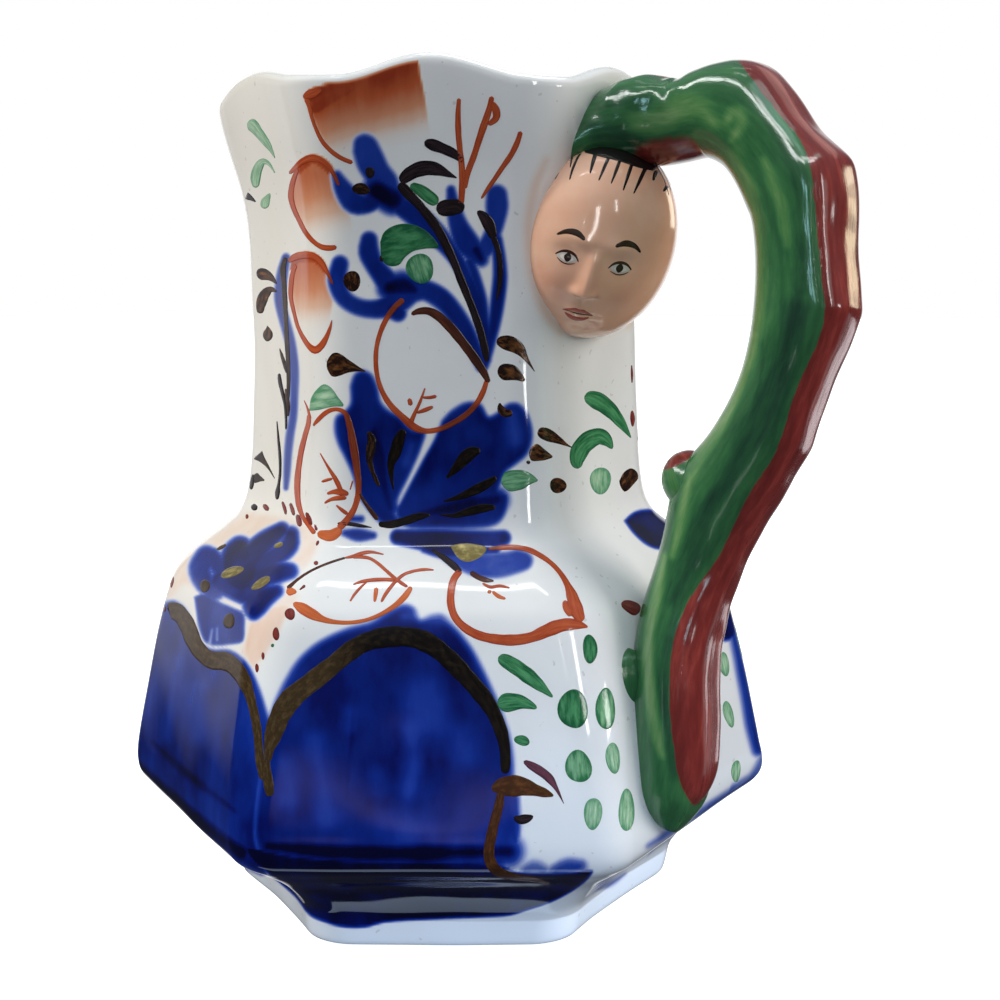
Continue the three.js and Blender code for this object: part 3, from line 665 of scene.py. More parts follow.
# lustre dabs and green leaves at the neck's right
S("lustre", [496, 341, 503, 342, 511, 344, 519, 349, 527, 360, 535, 372], [3.4, 7, 7.8, 6, 2.2, .3])
S("lustre", [497, 372.5, 503, 372, 511, 372.5, 518, 376, 525, 381], [3.6, 8, 8.6, 5.4, 1.2])
S("lustre", [499.5, 402.5, 501, 409, 505, 413, 513, 412.5], [.6, 3.8, 4.4, 3.4])
S("lustre", [537, 431.5, 543, 433, 551, 436.5, 560, 441, 566, 444.5, 573, 448], [3.6, 6.3, 5.8, 3.4, 1.6, .4])
S("lustre", [529, 450.5, 535, 452.5, 543, 455, 553, 457], [5.4, 9, 6.4, .6])
E("black", 528.3, 462.3, 2, 2)
E("lustre", 558, 485.5, 9, 7.6)
B("lustre", [619, 481, 624, 472, 631, 468, 637, 471.5, 638.5, 478, 634, 484, 629, 489.5, 624.5, 492, 620.5, 487])
S("mgreen", [501, 483, 508, 481.5, 518, 480, 528, 479, 538, 480.5], [6, 10, 11, 7, .6])
S("green", [584, 397, 592, 398.5, 602, 403.5, 612, 412, 622, 424.5, 631, 438], [4.5, 8, 8.6, 7.6, 4.6, .5])
S("green", [578, 469, 577, 460, 581, 448.5, 590, 439.5, 600, 436.5, 607, 441, 612.5, 449], [3.5, 7.6, 9, 9.6, 8.4, 6, 1])
E("lgreen", 600.5, 480.5, 11, 13.2, -6)
S("dkred", [632, 410, 632.6, 418, 632.6, 427], [1, 2.6, 1])
S("dkred", [631.6, 365, 632, 374, 632, 383], [.6, 1.3, .6])

# shoulder, left: peach ground, cobalt flower with lustre marks, dotted border
wash_area([246, 511, 300, 521, 318, 541, 312, 562, 290, 584, 300, 596, 289, 612, 276, 636, 262, 660, 253, 672, 240, 655, 246, 634, 244, 612, 200, 596, 186, 585,
           172, 600, 166, 612, 170, 578, 186, 552, 215, 533], 0.115, 6.0)
wash_area([252, 612, 290, 604, 286, 618, 276, 638, 262, 660, 252, 668, 244, 652, 247, 632], 0.155, 4.0)
cob([206, 557, 200, 569, 205, 582, 215, 590], [11, 11, 10, 10], 0.66, 5.0)
cob([240, 548, 238, 557, 240, 574], [11, 16, 19], 0.86, 5.5)
cob([282, 530, 268, 540, 255, 552, 245, 565], [7, 10, 12, 16], 0.82, 5.0)
cob([291, 534, 289, 545, 277, 555, 262, 562], [7, 9, 9.5, 9.5], 0.78, 5.0)
cob([290, 571, 278, 572, 265, 575, 255, 581], [7.5, 10.5, 12, 14], 0.80, 5.0)
cob([276, 591, 263, 597, 255, 605, 254, 613], [6.5, 11, 12, 6.5], 0.76, 5.0)
cob([222, 582, 245, 590], [12, 14], 0.76)
cob([212, 556, 220, 568, 226, 580], [8, 9, 9], 0.66)
cob_area([195, 597, 206, 594, 219, 602, 232, 608, 243, 614, 244, 627, 242, 641, 229, 644, 217, 645, 207, 643, 200, 630, 197, 612], 0.68, 3.4)
cob_lift([212, 630, 210, 642], [1.5, 2.0], 0.6, 2.0)
cob_lift([217, 628, 217, 640], [1.2, 1.6], 0.6, 2.0)
E("gold", 232, 572, 12.5, 4.8, -22)
E("gold", 261, 583, 11.5, 4.2, -30)
E("gold", 278.5, 545, 5, 2.8, -20)
E("olive", 205, 586, 5.4, 6.4)
E("olive", 229, 621, 6, 8.2)
S("olive", [216, 550, 221, 547.5, 227, 544], [1, 2, 1])
E("dkred", 290, 614, 5.2, 6.4)
E("dkred", 276, 634, 3.6, 6.6)
E("green", 272.5, 645.5, 1.6, 1.9)
E("dkred", 263, 656, 1.7, 3.8)
E("dkred", 257, 668, 2.0, 4.4)
E("dkred", 316, 563, 2.2, 2.4)
S("dkred", [299.5, 590, 305.5, 585], [.7, 1.9])
E("dkred", 172, 582, 1.8, 6.0, 8)
E("dkred", 179.5, 561, 1.2, 3.6, 28)
E("dkred", 165, 609, 1.0, 3.2, 10)
# shoulder, front: red leaf outlines with twigs
S("brown", [287, 589, 297, 580, 308, 572.5, 320, 566.5, 333, 561.5, 346, 557.5], [2.6, 1.6, 1.4, 1.4, 1.3, 1.2])
S("red", [344, 558, 352, 556.5, 361, 553.5, 371, 552, 384, 554.5], [1.0, 1.8, 2, 1.7, .7])
S("red", [352, 557.5, 362, 557, 370, 558.5, 378, 563.5, 386, 570.5, 394, 577.5, 402, 583.5, 408, 587], [1.2, 2, 1.8, 1.8, 1.8, 1.9, 2, 1.6])
S("red", [434, 570, 425, 569.5, 414, 571, 404, 574.5, 396, 581, 390, 588, 385, 595, 381, 602.5], [.8, 1.6, 1.6, 1.8, 2, 1.9, 1.9, 1.2])
S("red", [353, 584.5, 362, 581.5, 372, 580, 385, 579.5, 395, 580], [.8, 1.8, 2, 2.1, 2])
S("red", [367, 581.5, 360, 588, 354, 595, 350, 601.5], [.8, 1.5, 1.5, .9])
S("orange", [376.5, 587, 375.5, 595, 374.5, 602.5], [2, 2.3, 1.2])
S("orange", [293, 603, 301, 607.5, 312, 614, 325, 620, 340, 622.5, 356, 622, 371, 618.5, 385, 612, 397, 604, 405.5, 595.5, 411.5, 586.5],
  [2, 5.2, 5.4, 3.2, 2.1, 2, 2, 2.2, 3, 3.2, 2])
S("orange", [286, 593, 291, 591.5, 297, 592], [3, 4, 1.4])
cob([398, 537, 440, 541, 480, 541, 503, 538], [7, 11, 10, 7], 0.90)
cob_area([436, 553, 452, 553, 480, 553, 505, 552, 520, 550, 532, 557, 530, 567, 515, 574, 496, 578, 475, 576, 458, 569, 446, 562], 0.54)
cob([425, 548, 445, 552, 470, 550, 495, 549], [4, 6, 6, 5], 0.82)
B("gold", [450, 546, 460, 543.5, 472, 543.5, 487, 548, 482, 556, 474, 560.5, 466, 562, 458, 558])
S("black", [432, 550, 444, 558, 454, 566, 461, 573], [1.4, 3, 3.6, 3])
S("brown", [470, 572, 478, 577, 486, 580, 494, 581], [2.4, 3, 2.6, .8])
S("red", [461, 570, 454, 579, 451, 592, 451, 605, 455, 617, 464, 627, 478, 635, 495, 639, 515, 640, 532, 637, 545, 631.5, 556, 627, 566, 624.5, 577, 624.5, 588, 627],
  [3, 3.8, 3.8, 3.8, 4, 4.2, 4.6, 5.2, 5.6, 5.6, 6.4, 7, 6.6, 5, .8])
S("red", [488, 549, 503, 547.5, 517, 547.5, 529, 550, 541, 556, 552, 564, 561, 574, 567, 584, 572, 596, 576, 609, 582, 622],
  [1.6, 2.6, 2.8, 2.8, 2.6, 2.5, 2.6, 3.2, 6, 7.2, 4])
S("red", [565, 600, 566, 608, 572, 616], [2.5, 3.2, 3])
S("red", [482, 583, 490, 587, 500, 586, 510, 588], [1.2, 1.8, 1.8, .8])
S("orange", [487, 592.5, 492, 591], [1.8, 2])
S("orange", [492, 591, 498, 596, 506, 599], [1.4, 2.2, 1.2])

# belly: arches
cob_area([284, 684, 296, 664, 312, 648, 330, 637, 350, 629, 372, 623, 388, 613, 404, 606, 413, 609, 420, 620, 432, 616, 442, 616, 455, 629, 470, 648, 482, 670, 492, 692,
          500, 712, 508, 735, 512, 758, 513, 790, 517, 806, 517, 830, 513, 850, 506, 864, 488, 872, 440, 874, 380, 872, 320, 868, 284, 866, 262, 858, 254, 838, 256, 800,
          262, 760, 268, 730, 275, 704], 0.76, 6.5)
# painted shade: the blue is laid on past full strength along the lower edge, near-black where the belly rounds under
cob([268, 846, 340, 852, 420, 853, 508, 851], [8, 11, 12, 10], 1.25, 17.0)
cob([356, 690, 352, 740, 346, 800], [10, 12, 10], 0.84, 14.0)
cob_area([156, 622, 162, 606, 172, 601, 182, 606, 192, 622, 199, 643, 212, 650, 230, 651, 246, 663, 258, 686, 266, 710, 271, 730, 264, 762, 258, 800, 256, 840, 266, 874,
          236, 862, 196, 832, 144, 792, 126, 756, 132, 728, 142, 682], 0.74, 4.5)
# painted shade: the same near-black, thickened blue along the left panel's lower edge
cob([138, 766, 188, 812, 240, 853], [9, 11, 11], 1.2, 17.0)
cob([152, 742, 190, 776, 236, 812], [10, 13, 10], 0.95, 18.0)
# pooled and thin places in the blue
cob_lift([405, 616, 430, 617, 452, 622], [4, 5, 4], 0.30, 6.0)
cob_lift([424, 698, 432, 712, 420, 724], [20, 22, 16], 0.22, 14.0)
cob_lift([408, 730, 414, 760, 408, 792], [6, 7, 7], 0.20, 9.0)
cob_lift([462, 736, 466, 756], [12, 12], 0.18, 12.0)
cob_lift([350, 712, 350, 728], [5, 5], 0.18, 7.0)
cob_lift([316, 740, 322, 780, 326, 815], [9, 9, 12], 0.24, 11.0)
cob_lift([285, 765, 290, 800], [9, 9], 0.16, 10.0)
cob_lift([376, 776, 378, 790], [8, 8], 0.14, 9.0)
cob_lift([384, 826, 420, 828], [14, 14], 0.16, 14.0)
cob_lift([178, 660, 172, 700, 166, 736], [5, 6, 4], 0.22, 10.0)
cob_lift([194, 690, 198, 735], [8, 8], 0.20, 12.0)
cob_lift([212, 672, 206, 684], [6, 6], 0.18, 9.0)
cob([512, 800, 512, 830, 508, 854], [7, 8, 8], 0.72, 4.5)
cob([526, 870, 534, 867, 545, 871], [6, 7, 5], 0.40, 7.0)
cob([556, 871, 568, 868, 580, 866], [6, 9, 6], 0.52, 7.0)
S("olive", [268, 762, 269, 750, 272, 739, 276, 726, 282, 712, 291, 699, 305, 687, 320, 675.5, 335, 663.5, 349, 652, 364, 643, 381, 638, 400, 636.5, 419, 639, 436, 648,
            450, 660, 463, 673.5, 476, 688, 487, 702, 495, 716, 501, 731, 504.5, 746, 505.5, 760, 505, 774],
  [3.4, 5.4, 8, 10, 11, 11, 10.5, 10, 9.8, 9.6, 9.8, 10.4, 10.6, 10.4, 10.2, 9.8, 9.4, 9, 8.4, 7.4, 6.6, 6, 5.4, 4])
S("olive", [163, 616, 169, 611, 176, 611.5, 183, 618, 188.5, 628, 193, 640, 199, 650, 206, 657, 214, 660.5, 224, 661, 234, 667, 242.5, 678, 248.5, 692, 253, 708, 256.5, 726,
            258.5, 744, 260, 762, 262, 780],
  [4, 8, 8.8, 8.6, 8.4, 8, 8.2, 8.6, 9.2, 9.4, 8.8, 7.6, 5.6, 4.8, 4.6, 4.6, 4.4, 2.4])
S("olive", [266, 758, 266.5, 772, 268.5, 784, 270, 797], [3.4, 4.8, 5.6, 3.6])
S("copper", [491, 789, 500, 787, 510, 786, 522, 786.5, 535, 790, 545, 793, 554, 796], [2.4, 8.6, 10.8, 9.8, 6.6, 4.6, 1])
S("copper", [501, 792, 498.5, 807, 494.5, 822, 491, 838, 489, 850, 490.5, 862, 498, 871.5, 513, 876.5, 532, 879, 550, 884],
  [4, 5, 5, 5.8, 5.4, 5.8, 5.6, 3.8, 3, 1.4])
S("plum", [523.5, 761, 532, 766, 541, 771.5, 549, 778, 556, 788, 564, 804], [1.6, 4.2, 4.8, 4.6, 2.2, .3])
S("black", [513.5, 817, 520, 819.5, 527, 818.5, 533.5, 816], [2, 4.8, 4.4, 1.4])
# green dabs beside and behind the handle
E("green", 590, 649, 7.6, 14.2)
S("green", [498, 657, 506, 661, 518, 668.5, 530, 677.5, 542, 687.5, 553, 697.5], [3.6, 7, 8, 7.4, 5, 1])
S("green", [497, 704, 508, 702.5, 520, 702, 530, 705, 537, 708.5], [6, 9.6, 7.6, 4.4, 1.4])
E("green", 573, 709, 14.6, 20.4)
E("mgreen", 605.5, 709, 9.6, 21.6, -3)
E("green", 522, 740.5, 8, 5.4, 10)
E("mgreen", 578.5, 766.5, 13.2, 16.6)
E("lgreen", 613, 758, 7.4, 15.4, -8)
E("lgreen", 593, 813.5, 9, 16.6)
E("lgreen", 626.5, 810.5, 8.4, 20.4)
E("lgreen", 724, 664, 5, 13, -8)
E("lgreen", 728.5, 714, 5, 13.5, -12)
E("lgreen", 736, 771, 4.6, 11.5, 6)
S("dkred", [621, 603, 629, 606, 640, 612], [3, 6, 7])
# right of the handle, shoulder and far edge
cob_area([625, 521, 634, 513, 648, 510, 668, 516, 672, 530, 662, 548, 648, 545, 634, 533], 0.98, 3.2)
cob_area([718, 640, 720, 610, 729, 604, 736, 634, 728, 640], 0.90, 3.4)
cob([730, 618, 736, 645, 742, 672, 748, 700, 753, 728, 758, 750], [2, 3, 4, 5, 5.5, 4.5], 0.82, 7.5)
# painted shade and painted dark reflection: a thin blue line along the belly's lower right edge
cob([763, 758, 754, 776, 724, 798, 692, 817, 664, 836, 648, 846], [4, 4.5, 4.5, 4, 3, 1.5], 0.46, 6.0)
# foot: brushed cobalt band round the undercut, laid on nearly black, which also paints the shade under the overhang
cob_area([244, 846, 300, 857, 400, 862, 500, 865, 514, 872, 540, 874, 570, 873, 592, 871, 586, 880, 570, 892, 550, 902, 526, 910, 510, 915, 480, 917, 430, 919, 385, 922,
          365, 927, 345, 927, 325, 922, 310, 915, 296, 897, 272, 876, 252, 860], 0.97, 2.6)
cob([592, 890, 610, 884, 625, 874], [1.5, 3, 1.5], 0.25, 4.0)

# each colour where it lies thick and where it lies thin
TINT = {"red": (0.35, 0.044, 0.014), "orange": (0.48, 0.085, 0.018), "dkred": (0.13, 0.014, 0.012), "brown": (0.045, 0.013, 0.008),
        "plum": (0.050, 0.010, 0.022), "green": (0.012, 0.105, 0.040), "mgreen": (0.030, 0.170, 0.070), "lgreen": (0.100, 0.300, 0.160),
        "black": (0.007, 0.005, 0.006), "umber": (0.022, 0.011, 0.008), "lustre": (0.026, 0.011, 0.007), "olive": (0.007, 0.005, 0.004),
        "gold": (0.24, 0.19, 0.055), "copper": (0.085, 0.030, 0.011)}
THIN = {"red": (0.52, 0.105, 0.034), "orange": (0.62, 0.155, 0.040), "dkred": (0.25, 0.042, 0.032), "brown": (0.115, 0.034, 0.018),
        "plum": (0.16, 0.050, 0.080), "green": (0.085, 0.320, 0.135), "mgreen": (0.240, 0.500, 0.280), "lgreen": (0.440, 0.640, 0.450),
        "black": (0.036, 0.022, 0.026), "umber": (0.105, 0.050, 0.020), "lustre": (0.25, 0.095, 0.028), "olive": (0.030, 0.021, 0.011),
        "gold": (0.56, 0.46, 0.17), "copper": (0.19, 0.070, 0.021)}
METAL = {"lustre", "olive", "gold", "umber", "copper"}


def body_paint(points, normals):
    """Soft paint at surface points: as painted, mirrored for the far side, turned for the lip panel."""
    x, y, z = points[..., 0] - AXIS_X, points[..., 1], points[..., 2]
    az = np.degrees(np.arctan2(y, x))
    cobm, wsh = np.zeros(x.shape), np.zeros(x.shape)
    c, s = math.cos(math.radians(-240)), math.sin(math.radians(-240))
    for mode in ("front", "mirror", "turn"):
        if mode == "front":
            q, n = points, normals
        elif mode == "mirror":
            q, n = points * np.array([1, -1, 1]), normals * np.array([1, -1, 1])
        else:
            q = np.stack([AXIS_X + c * x - s * y, s * x + c * y, z], -1)
            n = np.stack([c * normals[..., 0] - s * normals[..., 1], s * normals[..., 0] + c * normals[..., 1], normals[..., 2]], -1)
        facing = ((EYE - q) * n).sum(-1) / np.linalg.norm(EYE - q, axis=-1)
        if mode == "front":
            ok = facing > 0.0
        elif mode == "mirror":
            ok = (facing > 0.0) & (az > 14)
        else:
            ok = (np.abs(az) > 149) & (facing > 0)
        if not ok.any():
            continue
        pp = project(q[ok])
        k = smoothstep(facing[ok] / 0.06) if mode != "front" else 1.0
        cobm[ok] = np.maximum(cobm[ok], k * soft_layer(COBALT, pp[:, 0], pp[:, 1]))
        wsh[ok] = np.maximum(wsh[ok], k * soft_layer(WASH, pp[:, 0], pp[:, 1]))
    return cobm, wsh


r0, r1 = OUT_ROWS
PAINT["cobalt"][r0:r1], PAINT["wash"][r0:r1] = body_paint(P[r0:r1], NRM[r0:r1])
az_all = np.degrees(np.arctan2(P[..., 1], P[..., 0] - AXIS_X))
# painted warm light: cream on the white glaze round the left side, where the warm lamp falls
PAINT["warm"] = 0.55 * smoothstep(1 - np.abs(((az_all + 125 + 180) % 360) - 180) / 55.0)


def hit(px, py):
    loc, nor, idx, dist = BODY_TREE.ray_cast(EYE_V, Vector(ray_dir(px, py)))
    return None if loc is None else (np.array(loc), body_n[body_faces[idx]].mean(0))


def lens(grid2d):
    """Carry a grid of picture points (rows, cols, 2) onto the body. Returns points, normals and which rows landed."""
    R, C = grid2d.shape[:2]
    pts = np.zeros((R, C, 3))
    nor = np.zeros((R, C, 3))
    ok = np.ones(R, bool)
    for i in range(R):
        for j in range(C):
            h = hit(*grid2d[i, j])
            if h is None:
                ok[i] = False
                break
            pts[i, j], nor[i, j] = h
    return pts, nor, ok


def longest_run(ok):
    best, start = (0, 0), None
    for i, v in enumerate(list(ok) + [False]):
        if v and start is None:
            start = i
        elif not v and start is not None:
            if i - start > best[1] - best[0]:
                best = (start, i)
            start = None
    return best


class Layer:
    def __init__(self):
        self.v, self.f, self.at = [], [], {"tint": [], "thin": [], "across": [], "along": [], "rim": [], "seed": []}
        self.n = 0

    def add(self, top, low, faces, tint, thin, across, along, rim, seed):
        self.v += [top, low]
        self.f.append(faces + self.n)
        m = len(top) + len(low)
        self.at["tint"].append(tint)
        self.at["thin"].append(thin)
        self.at["across"].append(across)
        self.at["along"].append(along)
        self.at["rim"].append(rim)
        self.at["seed"].append(np.full(m, seed))
        self.n += m


LAYERS = {}


def place(col, pts, nor, edge, quads, across, along, rim, thick, seed, region):
    """One brush mark as a thin closed lens bedded into the glaze."""
    n = len(pts)
    nor = nor / np.linalg.norm(nor, axis=1, keepdims=True)
    rise = np.where(edge, -0.012, thick)
    top = pts + nor * rise[:, None]
    inner = np.where(~edge)[0]
    low = pts[inner] - nor[inner] * 0.07
    remap = np.arange(n)
    remap[inner] = n + np.arange(len(inner))
    quads = np.asarray(quads)
    quads = np.where((edge[quads[:, 0]] & edge[quads[:, 2]])[:, None], np.roll(quads, -1, axis=1), quads)     # corners split towards the middle
    tri = np.vstack([quads[:, [0, 1, 2]], quads[:, [0, 2, 3]]])
    tri = tri[(tri[:, 0] != tri[:, 1]) & (tri[:, 1] != tri[:, 2]) & (tri[:, 0] != tri[:, 2])]
    fn = np.cross(pts[tri[:, 1]] - pts[tri[:, 0]], pts[tri[:, 2]] - pts[tri[:, 0]])
    if (fn * nor[tri[:, 0]]).sum() < 0:
        tri = tri[:, ::-1]
    under = remap[tri][:, ::-1]
    same = (under == tri[:, ::-1]).all(1)
    faces = np.vstack([tri, under[~same]])
    cobm, _ = body_paint(pts, nor)
    tint, thin = np.tile(TINT[col], (n, 1)), np.tile(THIN[col], (n, 1))
    if col == "olive":
        # the brown thins out to the left
        k = smoothstep((375 - project(pts)[:, 0]) / 60.0)[:, None]
        tint, thin = tint * (1 - k) + np.array((0.072, 0.043, 0.017)) * k, thin * (1 - k) + np.array((0.150, 0.095, 0.038)) * k
    dark = {"green": (0.008, 0.060, 0.040), "mgreen": (0.02, 0.12, 0.09), "lgreen": (0.03, 0.16, 0.13)}.get(col, (0.010, 0.006, 0.006))
    k = ((0.75 if col not in METAL else 0.2) * cobm)[:, None]
    tint, thin = tint * (1 - k) + np.array(dark) * k, thin * (1 - k) + np.array(dark) * 1.6 * k
    key = ("lustre" if col in METAL else "enamel") + "_" + region
    both = lambda a: np.concatenate([a, a[inner]])
    LAYERS.setdefault(key, Layer()).add(top, low, faces, both(tint), both(thin), both(across), both(along), both(rim), seed)


def lay_all():
    c, s = math.cos(math.radians(240)), math.sin(math.radians(240))
    for num, (col, kind, data) in enumerate(INK):
        seed = (num * 0.61803) % 1.0
        if kind == "stroke":
            path = stroke_path(*data, 1.7)
            L = np.concatenate([[0], np.cumsum(np.hypot(*np.diff(path[:, :2], axis=0).T))])
            w = path[:, 2] * (1 + 0.035 * np.sin(L * 0.16 + seed * 40) + 0.02 * np.sin(L * 0.41 + seed * 90))
            for d, we in ((L, w[0]), (L[-1] - L, w[-1])):
                if we > 0.9:
                    w = np.where(d < we, w * np.sqrt(np.clip(1 - ((we - d) / we) ** 2, 0.004, 1)), w)
            tan = np.gradient(path[:, :2], axis=0)
            tan /= np.linalg.norm(tan, axis=1, keepdims=True)
            nrm = np.stack([-tan[:, 1], tan[:, 0]], -1)
            C = 5 if path[:, 2].max() < 3 else 9
            a = np.sin(np.linspace(-1, 1, C) * math.pi / 2)
            g = path[:, None, :2] + nrm[:, None, :] * (w[:, None] * a[None, :])[..., None]
            pts, nor, ok = lens(g)
            i0, i1 = longest_run(ok)
            R = i1 - i0
            if R < 4:
                continue
            pts, nor, L = pts[i0:i1].reshape(-1, 3), nor[i0:i1].reshape(-1, 3), L[i0:i1]
            ii, jj = np.meshgrid(np.arange(R - 1), np.arange(C - 1), indexing="ij")
            q = np.stack([ii * C + jj, ii * C + jj + 1, (ii + 1) * C + jj + 1, (ii + 1) * C + jj], -1).reshape(-1, 4)
            e = np.zeros((R, C), bool)
            e[0], e[-1], e[:, 0], e[:, -1] = True, True, True, True
            edge = e.reshape(-1)
            across = np.tile(a, R) * min(1.0, path[:, 2].max() / 5.0)
            along = np.repeat(L, C)
            rim = np.maximum(np.tile(np.abs(a), R), 1 - np.repeat(np.minimum(L - L[0], L[-1] - L), C) / 3.0)
        else:
            out = data.copy()
            cen = out.mean(0)
            for i, o in enumerate(out):
                for k in (1.0, 0.9, 0.8, 0.7, 0.6, 0.5, 0.4):
                    out[i] = cen + (o - cen) * k
                    if hit(*out[i]) is not None:
                        break
            K = max(3, min(8, int(np.linalg.norm(out - cen, axis=1).mean() / 1.8)))
            rs = np.sin(np.linspace(0, 1, K + 1)[1:] * math.pi / 2)
            g = cen + (out - cen)[None, :, :] * rs[:, None, None]
            g = np.concatenate([np.broadcast_to(cen + (out - cen) * 0.03, (1, *out.shape)), g], 0)
            pts, nor, ok = lens(g)
            if not ok.all():
                continue
            R, C = g.shape[:2]
            pts, nor = pts.reshape(-1, 3), nor.reshape(-1, 3)
            q = grid_faces(R, C)
            # close the middle
            mid = len(pts)
            pts = np.vstack([pts, pts[:C].mean(0)])
            nor = np.vstack([nor, nor[:C].mean(0)])
            q = np.vstack([q, [[mid, (i + 1) % C, i, i] for i in range(C)]])
            edge = np.zeros(len(pts), bool)
            edge[(R - 1) * C:R * C] = True
            rel = np.vstack([g.reshape(-1, 2), cen]) - cen
            axis = np.linalg.svd(out - cen, full_matrices=False)[2]
            size = np.abs((out - cen) @ axis[1]).max()
            across = rel @ axis[1] / max(size, 1e-6) * min(1.0, size / 5.0)
            along = rel @ axis[0] + 20
            rim = np.concatenate([np.repeat(np.concatenate([[0.03], rs]), C), [0.0]])
        thick = 0.022 if col in METAL else 0.045
        cx, cy = pts[:, 0].mean() - AXIS_X, pts[:, 1].mean()
        az = math.degrees(math.atan2(cy, cx))
        region = "neck" if pts[:, 2].mean() > JOINT_NECK + 0.5 else "belly"
        place(col, pts, nor, edge, q, across, along, rim, thick, seed, region)
        copies = []
        if az < -29:
            copies.append(pts * np.array([1, -1, 1]))
        if -88 < az < -33:
            x, y = pts[:, 0] - AXIS_X, pts[:, 1]
            copies.append(np.stack([AXIS_X + c * x - s * y, s * x + c * y, pts[:, 2]], -1))
        for cp in copies:
            near = [BODY_TREE.find_nearest(Vector(p)) for p in cp]
            p2 = np.array([np.array(h[0]) for h in near])
            n2 = np.array([body_n[body_faces[h[2]]].mean(0) for h in near])
            place(col, p2, n2, edge, q, across, along, rim, thick, (seed + 0.37) % 1.0, region)


lay_all()


def enamel_material(name, metal=False):
    m, nt, b = nodes_of(name)
    comb = nt.nodes.new("ShaderNodeCombineXYZ")
    sd = attr(nt, "seed")
    nt.links.new(math_node(nt, "MULTIPLY_ADD", attr(nt, "across"), 1.5 if metal else 2.4, math_node(nt, "MULTIPLY", sd, 37.0)), comb.inputs[0])
    nt.links.new(math_node(nt, "MULTIPLY_ADD", attr(nt, "along"), 0.075 if metal else 0.035, math_node(nt, "MULTIPLY", sd, 11.0)), comb.inputs[1])
    st = noise(nt, 1.3, 3, 0.6, vec=comb.outputs[0])
    fine = noise(nt, 700, 2, 0.5)
    tint, thin = attr(nt, "tint", "Color"), attr(nt, "thin", "Color")
    pool = math_node(nt, "POWER", attr(nt, "rim"), 3.0)
    if metal:
        f = math_node(nt, "MULTIPLY_ADD", st, 4.0, -1.75)
        f = math_node(nt, "MULTIPLY_ADD", pool, -0.35, f)
        b.inputs["Metallic"].default_value = 0.35
        b.inputs["Roughness"].default_value = 0.18
        b.inputs["IOR"].default_value = 1.6
    else:
        f = math_node(nt, "MULTIPLY_ADD", st, 2.6, -0.72)
        f = math_node(nt, "MULTIPLY_ADD", pool, -0.70, f)
        b.inputs["Roughness"].default_value = 0.12
        b.inputs["IOR"].default_value = 1.54
    f = math_node(nt, "ADD", f, math_node(nt, "MULTIPLY_ADD", fine, 0.4, -0.2), clamp=True)
    nt.links.new(mixrgb(nt, f, tint, thin), b.inputs["Base Color"])
    nt.links.new(bump(nt, fine, 0.12, 0.0003), b.inputs["Normal"])
    return m


m_enamel = enamel_material("overglaze_enamel")
m_lustre = enamel_material("copper_lustre", True)
for key, lay in LAYERS.items():
    kind, region = key.split("_")
    ob = make_mesh(key + "_strokes", np.vstack(lay.v), np.vstack(lay.f), None,
                   {"tint": np.vstack(lay.at["tint"]), "thin": np.vstack(lay.at["thin"]), "across": np.concatenate(lay.at["across"]),
                    "along": np.concatenate(lay.at["along"]), "rim": np.concatenate(lay.at["rim"]), "seed": np.concatenate(lay.at["seed"])})
    ob.data.materials.append(m_lustre if kind == "lustre" else m_enamel)
    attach(ob, "root")

m_neck = glaze_material("glaze_painted_neck")
m_belly = glaze_material("glaze_painted_belly")
m_foot = glaze_material("glaze_foot")
m_floor = glaze_material("glaze_white")

neck = piece_from_rows("neck_painted", *NECK, mat=m_neck, extra=PAINT)
belly = piece_from_rows("belly_painted", *BELLY_O, *BELLY_I, mat=m_belly, extra=PAINT)
foot = piece_from_rows("foot_ring_glazed", *FOOT, mat=m_foot, extra=PAINT)
foot.visible_glossy = False       # keeps the undercut's cobalt deep


def floor_piece():
    """Floor of the jug: dished inside, recessed and slightly domed underneath."""
    rows = []
    for a, z in [(0.001, 6.0), (8, 6.05), (16, 6.1), (22, 6.2), (26, 6.4), (28.2, 6.8), (29.6, 7.6), (30.5, 8.6)]:
        rows.append([z, a, min(4.0, a * 0.4)])
    for a, z in [(30.4, 5.4), (30.0, 3.2), (28.8, 2.35), (26, 2.1), (20, 2.25), (12, 2.5), (5, 2.6), (0.001, 2.6)]:
        rows.append([z, a, min(8.0, a * 0.4)])
    rows = np.array(rows)[::-1]
    pts = np.array(body_points(rows))
    pts[0], pts[-1] = pts[0].mean(0), pts[-1].mean(0)
    v = pts.reshape(-1, 3)
    f = grid_faces(len(rows), NCOL)
    at = {k: np.zeros(len(v)) for k in PAINT}
    ob = make_mesh("floor_glazed", v, f, None, at)
    ob.data.materials.append(m_floor)
    return ob


floor = floor_piece()

for ob, node, slot in ((neck, "neck", "painted_neck"), (belly, "belly", "painted_belly"),
                       (foot, "foot_ring", "foot_glaze"), (floor, "floor_bat", "white_glaze")):
    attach(ob, "root")
    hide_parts(node)


